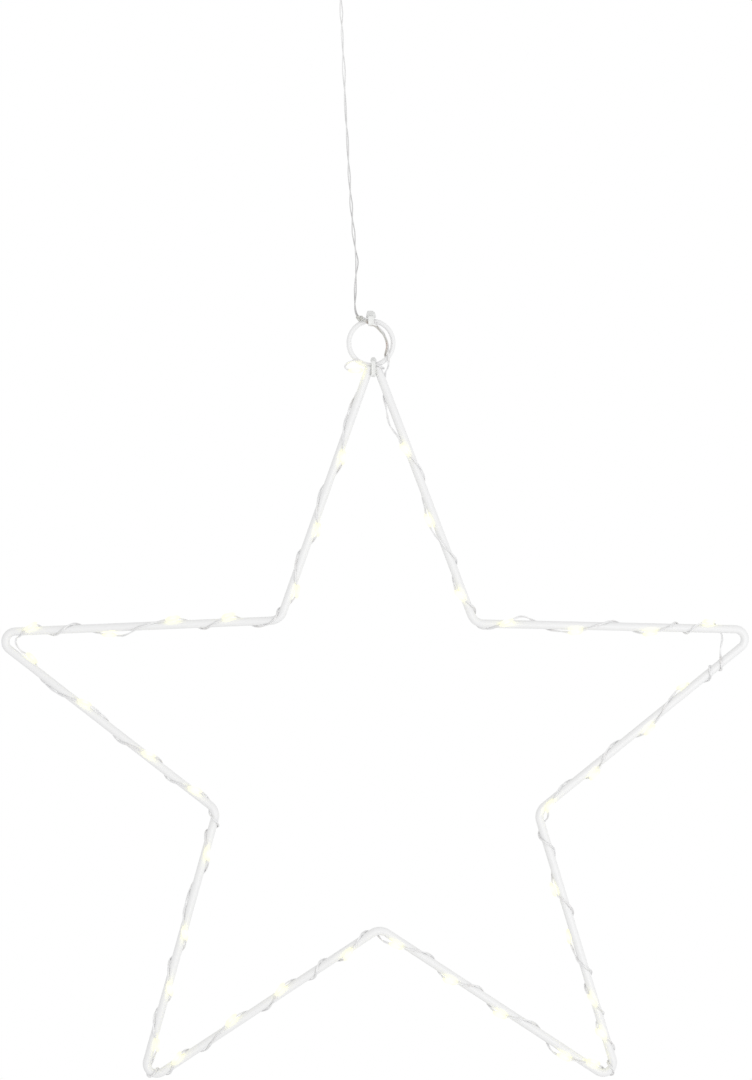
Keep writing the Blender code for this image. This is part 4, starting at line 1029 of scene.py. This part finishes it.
# Finishes made with the shared groups, by the name of their colour: the finish's own name, the
# colour of thin spots if it is metal, the group's other values in their order, the bump's
# strength and depth, how metallic it is and its clear coat
FINISHES = {
    "coat": ("powder coat", "", (1500.0, 0.05, 0.42, 0.16), (0.5, 0.00012), 0.0, 0.12),
    "nylon": ("natural nylon", "", (900.0, 0.06, 0.34, 0.12), (0.1, 0.00003), 0.0, 0.25),
    "nylon_thick": ("thick nylon", "", (900.0, 0.08, 0.3, 0.12), (0.1, 0.00003), 0.0, 0.25),
    "enamel_pale": (
        "enamelled wire on the star", "enamel_warm",
        (1400.0, 0.35, 0.34), (0.15, 0.00002), 0.2, 0.3,
    ),
    "enamel": (
        "enamelled wire", "enamel_worn",
        (1400.0, 0.6, 0.34), (0.15, 0.00002), 0.35, 0.3,
    ),
    # The knot's wire: painted shade darkens both its colour and its thin spots
    "bundle": (
        "enamelled knot wire with painted shade", "knot_wire_thin_spots_painted_shade",
        (1400.0, 0.8, 0.36), (0.15, 0.00002), 0.35, 0.3,
    ),
    "shell": ("box plastic", "", (3200.0, 0.03, 0.46, 0.12), (0.45, 0.00006), 0.0, 0.0),
    "dark": ("black plastic", "", (2600.0, 0.3, 0.42, 0.2), (0.4, 0.00005), 0.0, 0.0),
    "plated": ("nickel plate", "plated_worn", (700.0, 0.35, 0.26), (0.2, 0.00003), 1.0, 0.0),
    "jacket": ("cell jacket", "", (1200.0, 0.08, 0.3, 0.15), (0.12, 0.00003), 0.0, 0.5),
    "band": ("cell band", "", (1200.0, 0.06, 0.28, 0.12), (0.12, 0.00003), 0.4, 0.0),
}


class STARLIGHT_OT_finishes(bpy.types.Operator):
    """Make the materials of every piece"""

    bl_idname = "star_light.finishes"
    bl_label = "Finishes"

    def execute(self, context):
        colours = sizes(context, "colours")
        surface_grain()
        rubbed_metal()
        for key, (name, worn, values, bump, metallic, coat) in FINISHES.items():
            group = METAL if worn else GRAIN
            shown = [getattr(colours, label) for label in (key, worn) if label]
            MATERIALS[key] = grained(name, group, [*shown, *values], bump, metallic, coat)
        # The lead's colour darkens towards the ring with painted shade
        paint_shade_towards_ring(MATERIALS["enamel"], colours.enamel, colours.enamel_high)
        MATERIALS["resin"] = resin_material(colours)
        MATERIALS["chip"] = chip_material(colours)
        for solid in ("battery_case", "battery_door"):
            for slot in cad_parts[solid].material_slots:
                slot.material = MATERIALS["shell"]
        return {"FINISHED"}


class STARLIGHT_OT_stage(bpy.types.Operator):
    """Make the camera, the lamp, the white room and the floor"""

    bl_idname = "star_light.stage"
    bl_label = "Stage"

    def execute(self, context):
        stage = sizes(context, "stage")
        scene = context.scene
        scene.view_settings.view_transform = "Standard"
        eye = bpy.data.objects.new("camera", bpy.data.cameras.new("camera"))
        scene.collection.objects.link(eye)
        eye.data.lens = stage.lens
        eye.data.sensor_width = stage.sensor
        distance = stage.view_height * stage.lens / stage.sensor
        eye.location = (stage.side, -distance, stage.height)
        eye.rotation_euler = (math.pi / 2, 0, 0)
        scene.camera = eye
        self.lamp(scene, stage)
        self.room(scene, stage)
        self.floor(scene, stage)
        return {"FINISHED"}

    def lamp(self, scene, stage):
        """A large round lamp to the right and in front."""
        made = bpy.data.objects.new("key lamp", bpy.data.lights.new("key lamp", "AREA"))
        scene.collection.objects.link(made)
        made.data.shape = "DISK"
        made.data.size = stage.lamp_width
        made.data.energy = stage.lamp_power
        made.location = stage.lamp_place
        aim = Vector(stage.lamp_aim) - Vector(stage.lamp_place)
        made.rotation_euler = aim.to_track_quat("-Z", "Y").to_euler()

    def room(self, scene, stage):
        """A room that is white where it is seen and dimmer as a light on the object."""
        world = bpy.data.worlds.new("white room")
        scene.world = world
        world.use_nodes = True
        tree = world.node_tree
        rays = node(tree, "LightPath", {}).outputs
        strength = stage.ambient
        for kind in ("Camera", "Glossy", "Transmission"):
            strength = sums(tree, "MAXIMUM", rays[f"Is {kind} Ray"], strength)
        shown = tree.nodes["Background"].inputs
        feed(tree, shown["Color"], (1.0, 1.0, 1.0))
        feed(tree, shown["Strength"], strength)

    def floor(self, scene, stage):
        """A round floor that fades out towards its edge."""
        shape = bmesh.new()
        bmesh.ops.create_circle(
            shape, cap_ends=True, segments=stage.floor_sides, radius=stage.floor_radius
        )
        mesh = bpy.data.meshes.new("floor")
        shape.to_mesh(mesh)
        shape.free()
        made = bpy.data.objects.new("floor", mesh)
        made.location = (0, 0, stage.floor)
        scene.collection.objects.link(made)
        material, tree, shader = blank("pale floor")
        away = node(tree, "VectorMath", {0: on_object(tree)}, operation="LENGTH").outputs["Value"]
        fade = ramp(tree, away, stage.fade_end, stage.fade_start, "SMOOTHSTEP")
        feed(tree, shader.inputs["Alpha"], fade)
        feed(tree, shader.inputs["Base Color"], stage.floor_colour)
        feed(tree, shader.inputs["Roughness"], 0.6)
        mesh.materials.append(material)


class STARLIGHT_OT_lead(bpy.types.Operator):
    """Make the lead from the ring up to the battery box, its knot and its strain relief"""

    bl_idname = "star_light.lead"
    bl_label = "Lead"

    def execute(self, context):
        wires = sizes(context, "string")
        line = evenly(curved(LEAD_ROUTE[::-1], CURVE_STEP), PAIR_STEP, passes=3)
        pair = twisted(line, context, seed=550, twist=wires.lead_twist, apart_by=wires.lead_drift)
        parts = strands(pair[:2], wires, MATERIALS["enamel"])
        lead = piece("twisted_lead", parts, STAR_BODY, ["lead_cord"], sharp=60)
        self.knot(context)
        self.strain_relief()
        return {"FINISHED"}

    def knot(self, context):
        """A tight overhand knot where the lead meets the ring, and the wire doubled back."""
        wires = sizes(context, "string")
        steps, swing, flat, fullness, sides = 96, 1.4, 0.8, 1.05, 10
        loop = []
        for step in range(steps + 1):
            angle = math.tau * step / steps
            across = math.sin(angle) + swing * math.sin(2 * angle)
            up = flat * (math.cos(angle) - swing * math.cos(2 * angle))
            spot = Vector((across, -flat * math.sin(3 * angle), up))
            loop.append(Vector(KNOT_MIDDLE) + spot * wires.strand)
        line = evenly(loop, PAIR_STEP / 2)[:-1]
        # The knot and the doubled wire take the finish with painted shade
        dark = MATERIALS["bundle"]
        parts = [(tube(line, wires.strand * fullness, sides, closed=True), dark)]
        back = evenly(curved(BACK_ROUTE, CURVE_STEP), PAIR_STEP, passes=4)
        parts += strands(twisted(back, context, seed=5)[:2], wires, dark)
        piece("lead_knot", parts, STAR_BODY, sharp=60)

    def strain_relief(self):
        """A tapered sleeve with ribs where the lead enters the box."""
        low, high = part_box("lead_grommet")
        middle = (low + high) / 2
        flange, neck, nose, bore = (high.x - low.x) / 2, 0.0013, 0.0009, 0.0006
        top, foot, edge = 0.1384, 0.1370, 0.0002
        ribs, sides, widest, taper, groove = 5, 28, 0.00155, 0.00055, 0.0003
        rings = [(bore, high.z), (neck, high.z), (neck, top), (flange - edge, top)]
        rings += [(flange, top - edge), (flange, foot + edge), (flange - edge, foot)]
        pitch = (foot - low.z) / ribs
        # Where in its pitch each groove starts and ends, and each rib
        grooved, ribbed = (0.08, 0.35), (0.5, 0.92)
        for rib in range(ribs):
            wide = widest - taper * rib / ribs
            rings += [(wide - groove, foot - (rib + down) * pitch) for down in grooved]
            rings += [(wide, foot - (rib + down) * pitch) for down in ribbed]
        rings += [(nose - edge, low.z), (bore, low.z)]
        part = placed(lathed(rings, sides), Matrix.Translation((middle.x, middle.y, 0)))
        parts = [(part, MATERIALS["dark"])]
        piece("strain_relief", parts, STAR_BODY, ["lead_grommet"])


class STARLIGHT_OT_string(bpy.types.Operator):
    """Make the twisted pair wound round the star, and the lights on it"""

    bl_idname = "star_light.string"
    bl_label = "String and lights"

    def execute(self, context):
        star, wires = sizes(context, "wire"), sizes(context, "string")
        touch = star.wire / 2 + TOUCH
        reach = {
            TIGHT: touch + wires.pair / 2,
            LOOSE: touch + wires.pair / 2 + SLACK,
            LIGHT: touch + wires.drop_width / 2,
        }
        fine, seats = string_route(reach)
        line = settled(evenly(fine, PAIR_STEP), reach[TIGHT], star)
        *pair, apart = twisted(line, context, [middle for middle, _, _ in seats])
        parts = strands(pair, wires, MATERIALS["enamel_pale"])
        piece("twisted_string", parts, STAR_BODY, ["led_string"], sharp=60)
        self.lights(wires, seats, line, apart)
        return {"FINISHED"}

    def drop(self, wires, chance):
        """One drop, thin at the wires and full over the chip."""
        half_wide, half_long = wires.drop_width / 2, wires.drop_length / 2
        lean = chance.uniform(-wires.drop_lean, wires.drop_lean)
        rings = [
            (half_wide * wide * (1 + lean * along), half_long * along)
            for along, wide in DROP_SHARES
        ]
        points, faces = lathed(rings, wires.drop_sides)
        return points * (1.0, wires.drop_flat, 1.0), faces

    def lights(self, wires, seats, line, apart):
        """A drop at each seat, and the chips of all of them as one piece."""
        chip_edge = 0.00008
        chance = random.Random(7)
        long, wide, high = wires.chip_length / 2, wires.chip_width / 2, wires.strand / 2
        chip = softened_box(
            (-long, high, -wide), (long, high + wires.chip_height, wide), chip_edge, 1
        )
        chips = []
        for row, (middle, way, out) in enumerate(seats, 1):
            nearest = int(np.argmin(np.linalg.norm(line - np.array(tuple(middle)), axis=1)))
            side = Vector(apart[nearest])
            side = (side - way * side.dot(way)).normalized()
            up = way.cross(side)
            if up.dot(out) < 0:
                side, up = -side, -up
            turn = Matrix((side, up, way)).transposed().to_4x4()
            place = Matrix.Translation(middle) @ turn
            parts = [(self.drop(wires, chance), MATERIALS["resin"])]
            drop = piece(f"light_drop_{row:02d}", parts, STAR_BODY)
            drop.matrix_world = place
            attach(drop, STAR_BODY)
            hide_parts(f"led_{row:02d}")
            chips.append((placed(chip, place), MATERIALS["chip"]))
        piece("light_chips", chips, STAR_BODY)


class STARLIGHT_OT_wire(bpy.types.Operator):
    """Make the star's bent wire, the ring and the coated weld between them"""

    bl_idname = "star_light.wire"
    bl_label = "Star and ring"

    def execute(self, context):
        star = sizes(context, "wire")
        top = corner_at(0)
        first, last = (top + (corner_at(way) - top).normalized() * END_TRIM for way in (1, -1))
        route = [first]
        for corner in range(1, len(CORNERS)):
            _, turn, _, spoke, centre = bend_at(corner)
            steps = math.ceil(math.degrees(abs(turn)) / star.bend_step)
            bend = [centre - turned_by(spoke, turn * step / steps) for step in range(steps + 1)]
            start = route[-1]
            route += [start.lerp(bend[0], along) for along in (*LEG_SHARES, LEG_END)]
            route += bend
        start = route[-1]
        route += [start.lerp(last, along) for along in (*LEG_SHARES, 1.0)]
        points, radii = round_ended([(x, 0, z) for x, z in route], star.wire / 2)
        parts = [(tube(points, radii, star.sides), MATERIALS["coat"])]
        piece("bent_wire", parts, STAR_BODY, ["star_frame"], sharp=70)
        middle = Vector((0, 0, -star.ring_hole / 2))
        radius = (star.ring_hole + star.ring_wire) / 2
        loop = []
        for step in range(star.ring_steps):
            angle = math.tau * step / star.ring_steps
            loop.append(middle + Vector((math.cos(angle), 0, math.sin(angle))) * radius)
        ring = tube(loop, star.ring_wire / 2, star.ring_sides, closed=True)
        parts = [(ring, MATERIALS["coat"])]
        piece("ring_wire", parts, STAR_BODY, ["hanging_ring"], sharp=70)
        self.weld(star, first, last, middle.z - radius)
        return {"FINISHED"}

    def weld(self, star, first, last, foot):
        """Lumps of weld between the ring's foot and both wire ends, run together as one."""
        # Place across, height and radius of each lump
        lumps = [(0.0, foot - 0.0002, 0.0012), (0.0009, foot - 0.0016, 0.0013)]
        for end, inward in ((first, -0.0009), (last, 0.0009)):
            lumps += [
                (end.x, end.y + 0.0004, star.weld),
                (end.x + inward, end.y + 0.0002, star.weld * 0.85),
                (end.x * 0.55, foot - 0.0004, 0.0011),
            ]
        shape = bmesh.new()
        for across, up, radius in lumps:
            place = Matrix.Translation((across, 0, up))
            bmesh.ops.create_icosphere(shape, subdivisions=3, radius=radius, matrix=place)
        mesh = bpy.data.meshes.new("top_weld")
        shape.to_mesh(mesh)
        shape.free()
        mesh.materials.append(MATERIALS["coat"])
        made = bpy.data.objects.new("top_weld", mesh)
        joined = made.modifiers.new("joined", "REMESH")
        joined.mode = "VOXEL"
        joined.voxel_size = 0.00016
        joined.use_smooth_shade = True
        skin = made.modifiers.new("eased", "SMOOTH")
        skin.factor = 0.6
        skin.iterations = 7
        ridden(made, STAR_BODY)


class STARLIGHT_OT_ties(bpy.types.Operator):
    """Make the two nylon ties on the ring"""

    bl_idname = "star_light.ties"
    bl_label = "Ties"

    def execute(self, context):
        ties = sizes(context, "ties")
        self.tie("ring_tie", "upper_tie", ties, ties.width, ties.strap, ties.head)
        self.tie("foot_tie", "lower_tie", ties, ties.thin_width, ties.thin_strap, ties.thin_head)
        return {"FINISHED"}

    def tie(self, name, solid, ties, width, thickness, height):
        """A toothed strap loop with its head on top and a short cut tail."""
        low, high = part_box(solid)
        side, middle = (low.x + high.x) / 2, (low.y + high.y) / 2
        half, inset, depth = width / 2, thickness / 2, ties.head_depth / 2
        bite, back, head_edge, edge = 0.0004, 0.0001, 0.00036, 0.00012
        steep, taper, lean = 1.6, 0.3, 0.16
        pawl_half, pawl_foot, pawl_top = half * 0.64, height * 0.33, height * 0.72
        pawl_out, pawl_in = 0.0002, 0.0009
        tail_half, tail_back, tail_foot, tail_top = half * 0.8, 0.0003, 0.0006, 0.0003
        loop_top = high.z - height + bite
        strap = self.strap(ties, side, half, inset, (low.y, high.y), (low.z, loop_top))
        foot = loop_top - thickness - back
        head, faces = softened_box(
            (low.x, middle - depth, foot), (high.x, middle + depth, high.z), head_edge, 3
        )
        rise = (head[:, 2] - foot) / (high.z - foot)
        rise = np.clip(rise * steep - (steep - 1), 0, 1)
        head[:, 0] = side + (head[:, 0] - side) * (1 - taper * rise)
        head[:, 2] -= rise * (head[:, 0] - side) * lean
        pawl = softened_box(
            (side - pawl_half, middle - depth - pawl_out, foot + pawl_foot),
            (side + pawl_half, middle + depth - pawl_in, foot + pawl_top),
            edge,
        )
        tail = softened_box(
            (side - tail_half, middle + tail_back, high.z - tail_foot),
            (side + tail_half, middle + tail_back + thickness, high.z + tail_top),
            edge,
        )
        thin, thick = MATERIALS["nylon"], MATERIALS["nylon_thick"]
        parts = [(strap, thin), ((head, faces), thick), (pawl, thick), (tail, thin)]
        piece(name, parts, STAR_BODY, [solid], sharp=35)

    def strap(self, ties, side, half, inset, deep, up):
        """The strap's loop with rounded corners, and teeth on its outside."""
        reach, bend_steps = ties.bend - inset, 6
        edge, rim, border = 0.0001, 0.00015, 0.0004
        front, back = deep[0] + ties.bend, deep[1] - ties.bend
        foot, top = up[0] + ties.bend, up[1] - ties.bend
        centres = ((back, top), (front, top), (front, foot), (back, foot))
        spots = []
        for quarter, centre in enumerate(centres):
            for step in range(bend_steps + 1):
                angle = math.pi / 2 * (quarter + step / bend_steps)
                across, rise = reach * math.cos(angle), reach * math.sin(angle)
                spots.append((0, centre[0] + across, centre[1] + rise))
        line = evenly([*spots, spots[0]], ties.tooth / 2)[:-1]
        ways = ways_along(line, closed=True)
        outward = np.stack([0 * ways[:, 0], ways[:, 2], -ways[:, 1]], 1)
        count = len(line) // 2 * 2
        points = []
        for row in range(count):
            tooth = ties.tooth_depth if row % 2 else 0.0
            skin = [(half, inset - edge), (half - rim, inset), (half - border, inset - tooth)]
            skin = [(-across, out) for across, out in skin] + skin[::-1]
            skin += [(half, -inset + edge), (half - edge, -inset)]
            skin += [(-half + edge, -inset), (-half, -inset + edge)]
            for across, out in skin:
                points.append(line[row] + outward[row] * out + np.array((side + across, 0, 0)))
        return np.array(points), wall_faces(count, len(skin), closed=True)


class STARLIGHT_OT_cells(bpy.types.Operator):
    """Make the cells, their contact plates and coil springs"""

    bl_idname = "star_light.cells"
    bl_label = "Cells and contacts"

    def execute(self, context):
        box = sizes(context, "box")
        for row, nub_up in ((1, True), (2, False), (3, True)):
            self.cell(f"cell_{row}", f"cell_body_{row}", nub_up, box)
        self.contact("contact_positive", ((1, False),), True, box)
        self.contact("contact_bridge_low", ((1, True), (2, False)), False, box)
        self.contact("contact_bridge_high", ((2, True), (3, False)), True, box)
        self.contact("contact_negative", ((3, True),), False, box)
        return {"FINISHED"}

    def cell(self, solid, name, nub_up, box):
        """A cell's can, its shrink jacket, the plain band and the cap with its button."""
        low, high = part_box(solid)
        radius, length = box.cell_width / 2, high.z - low.z
        body = length - box.nub
        split = body * box.jacket
        # How far in from the cell's side and how high the rings of each part are
        can = ((0.0016, 0.0), (0.0011, 0.0), (0.0009, 0.0003), (0.0007, 0.0004))
        jacket = ((0.0012, 0.0003), (0.0005, 0.0002), (0.0001, 0.0005), (0, 0.0010), (0, split))
        band = (
            (0.00003, split), (0, split + 0.0001), (0, body - 0.0010), (0.0001, body - 0.0005),
            (0.0005, body - 0.0001), (0.0013, body - 0.0002), (0.0016, body - 0.0004),
        )
        cap = (
            (0.0014, body - 0.0007), (0.0020, body - 0.0006), (radius - 0.0031, body - 0.0003),
            (radius - 0.0028, body), (radius - 0.0027, length - 0.0003),
            (radius - 0.0024, length), (radius - 0.0010, length),
        )
        foot, turn = (low.z, 0) if nub_up else (high.z, math.pi)
        place = Matrix.Translation(((low.x + high.x) / 2, (low.y + high.y) / 2, foot))
        place @= Matrix.Rotation(turn, 4, "X")
        parts = []
        finishes = ("plated", "jacket", "band", "plated")
        for rings, finish in zip((can, jacket, band, cap), finishes):
            part = lathed([(radius - inset, height) for inset, height in rings], box.cell_sides)
            parts.append((placed(part, place), MATERIALS[finish]))
        piece(name, parts, STAR_BODY, [solid], sharp=35)

    def contact(self, solid, spots, up, box):
        """A plate with a pressed button or a coil spring for each cell it meets."""
        low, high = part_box(solid)
        wall, inward, turn = (high.z, -1, math.pi) if up else (low.z, 1, 0)
        depth, face = (low.y + high.y) / 2, wall + inward * box.plate
        ends, edge = sorted((wall, face)), 0.00012
        parts = [softened_box((low.x, low.y, ends[0]), (high.x, high.y, ends[1]), edge)]
        for row, spring in spots:
            cell_low, cell_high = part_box(f"cell_{row}")
            across = (cell_low.x + cell_high.x) / 2
            if spring:
                parts.append(self.spring(across, depth, face, inward, box))
            else:
                place = Matrix.Translation((across, depth, face)) @ Matrix.Rotation(turn, 4, "X")
                parts.append(placed(lathed(BUTTON_RINGS, box.button_sides), place))
        parts = [(part, MATERIALS["plated"]) for part in parts]
        piece(solid + "_plate", parts, STAR_BODY, [solid], sharp=35)

    def spring(self, across, depth, face, inward, box):
        """A conical coil spring that stands on its plate."""
        steps, nose_steps, sides = box.spring_turns * box.spring_steps, 2, 8
        line = []
        for step in range(steps + 1):
            done = step / steps
            angle = math.tau * box.spring_turns * done
            radius = box.spring_foot - box.spring_taper * done
            rise = box.spring_wire / 2 + done * (box.spring_height - box.spring_wire)
            way = Vector((radius * math.cos(angle), radius * math.sin(angle), inward * rise))
            line.append(Vector((across, depth, face)) + way)
        points, radii = round_ended(line, box.spring_wire / 2, nose_steps)
        return tube(points, radii, sides)


class STARLIGHT_OT_box(bpy.types.Operator):
    """Make the detail on the battery box: its door's arrow, its cell cradle and its switch"""

    bl_idname = "star_light.box"
    bl_label = "Box detail"

    def execute(self, context):
        box = sizes(context, "box")
        self.door_arrow()
        self.cradle()
        self.knob(box)
        self.shell(box)
        return {"FINISHED"}

    def door_arrow(self):
        """A raised arrow that shows which way the door slides."""
        low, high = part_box("battery_door")
        side, top, face = (low.x + high.x) / 2, high.z - 0.0160, low.y
        half, tall, middle = 0.0036, 0.0052, top - 0.0035
        outline = ((0.0, top), (half, top - tall), (-half, top - tall))
        points = []
        # Depth of each ring of points from the back to the front, and its size
        for depth, grow in ((face + 0.0002, 1.0), (face - 0.0002, 1.0), (face - 0.0003, 0.94)):
            points += [(side + x * grow, depth, middle + (z - middle) * grow) for x, z in outline]
        arrow = (np.array(points), wall_faces(3, len(outline)))
        piece("door_arrow", [(arrow, MATERIALS["shell"])], DOOR_BODY, sharp=25)

    def cradle(self):
        """Curved ribs on the bay's floor that part the cells."""
        outline = [(-0.0030, 0.0), (-0.0018, -0.0014), (-0.0005, -0.0034), (0.0, -0.0038)]
        outline += [(-x, y) for x, y in reversed(outline[:-1])]
        half, behind_cells, heights = 0.0006, 0.0004, (0.165, 0.180, 0.195)
        parts = []
        for row in (1, 2):
            left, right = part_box(f"cell_{row}")[1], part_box(f"cell_{row + 1}")[0]
            across, back = (left.x + right.x) / 2, left.y + behind_cells
            for height in heights:
                points = [
                    (across + x, back + y, level)
                    for level in (height - half, height + half)
                    for x, y in outline
                ]
                part = (np.array(points), wall_faces(2, len(outline)))
                parts.append((part, MATERIALS["shell"]))
        piece("cell_cradle", parts, STAR_BODY, sharp=35)

    def knob(self, box):
        """The switch's knob with ribs across it, its stem and its foot."""
        low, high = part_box("switch_slider")
        side, middle = (low.x + high.x) / 2, (low.z + high.z) / 2
        base, face, base_edge = low.y + 0.0004, low.y + 0.0015, 0.0003
        rib_half, rib_back, rib_inset, rib_edge = 0.0002, low.y + 0.0008, 0.0004, 0.00012
        stem_edge = 0.0001
        blocks = [((low.x, base, low.z), (high.x, face, high.z), base_edge)]
        for rib in range(box.knob_ribs):
            across = side + (rib - (box.knob_ribs - 1) / 2) * box.knob_pitch
            start = (across - rib_half, low.y, low.z + rib_inset)
            end = (across + rib_half, rib_back, high.z - rib_inset)
            blocks.append((start, end, rib_edge))
        # Half width, half height, front and back of the stem and of its foot
        for half, tall, near, far in (
            (0.0012, 0.0007, face - 0.0002, high.y - 0.0002),
            (0.0018, 0.0013, high.y - 0.0006, high.y),
        ):
            start = (side - half, near, middle - tall)
            blocks.append((start, (side + half, far, middle + tall), stem_edge))
        parts = [(softened_box(*block), MATERIALS["dark"]) for block in blocks]
        piece("switch_knob", parts, SLIDER_BODY, ["switch_slider"], sharp=35)

    def shell(self, box):
        """The switch's folded metal shell with its base and three pins behind it."""
        low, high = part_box("switch_housing")
        side, middle = (low.x + high.x) / 2, (low.z + high.z) / 2
        wall, edge, base_front, base_back = box.sheet, 0.0001, 0.0012, 0.0002
        blocks = [
            ((low.x, low.y, low.z), (high.x, high.y, low.z + wall), "plated"),
            ((low.x, low.y, high.z - wall), (high.x, high.y, high.z), "plated"),
            ((low.x, low.y, low.z), (low.x + wall, high.y, high.z), "plated"),
            ((high.x - wall, low.y, low.z), (high.x, high.y, high.z), "plated"),
            (
                (low.x + wall, high.y - base_front, low.z + wall),
                (high.x - wall, high.y - base_back, high.z - wall),
                "dark",
            ),
        ]
        pitch, half, tall, pin_root, pin_tip = 0.0025, 0.0003, 0.0005, 0.0004, 0.0022
        for across in (side - pitch, side, side + pitch):
            start = (across - half, high.y - pin_root, middle - tall)
            end = (across + half, high.y + pin_tip, middle + tall)
            blocks.append((start, end, "plated"))
        parts = [
            (softened_box(start, end, edge), MATERIALS[finish]) for start, end, finish in blocks
        ]
        piece("switch_shell", parts, STAR_BODY, ["switch_housing"], sharp=35)


class STARLIGHT_PT_panel(bpy.types.Panel):
    """Lists the operators and the sizes of the star light"""

    bl_idname = "STARLIGHT_PT_panel"
    bl_label = "Star light"
    bl_space_type = "VIEW_3D"
    bl_region_type = "UI"
    bl_category = "Star light"

    def draw(self, context):
        for step in STEPS:
            self.layout.operator(step.bl_idname)
        for label, group in GROUPS.items():
            settings = sizes(context, label)
            section = self.layout.box()
            section.label(text=group.__doc__)
            for name in group.__annotations__:
                section.prop(settings, name)


GROUPS = {
    "wire": StarWireSizes,
    "string": StringSizes,
    "ties": TieSizes,
    "box": BoxSizes,
    "colours": FinishColours,
    "stage": StageSettings,
}
STEPS = (
    STARLIGHT_OT_finishes,
    STARLIGHT_OT_stage,
    STARLIGHT_OT_lead,
    STARLIGHT_OT_string,
    STARLIGHT_OT_wire,
    STARLIGHT_OT_ties,
    STARLIGHT_OT_cells,
    STARLIGHT_OT_box,
)


def register():
    for made in (*GROUPS.values(), *STEPS, STARLIGHT_PT_panel):
        bpy.utils.register_class(made)
    for label, group in GROUPS.items():
        setattr(bpy.types.Scene, "star_light_" + label, PointerProperty(type=group))


def unregister():
    for label in GROUPS:
        delattr(bpy.types.Scene, "star_light_" + label)
    for made in (STARLIGHT_PT_panel, *reversed(STEPS), *reversed(GROUPS.values())):
        bpy.utils.unregister_class(made)


def main():
    register()
    for step in STEPS:
        getattr(bpy.ops.star_light, step.bl_idname.split(".")[1])()


if __name__ == "__main__":
    main()
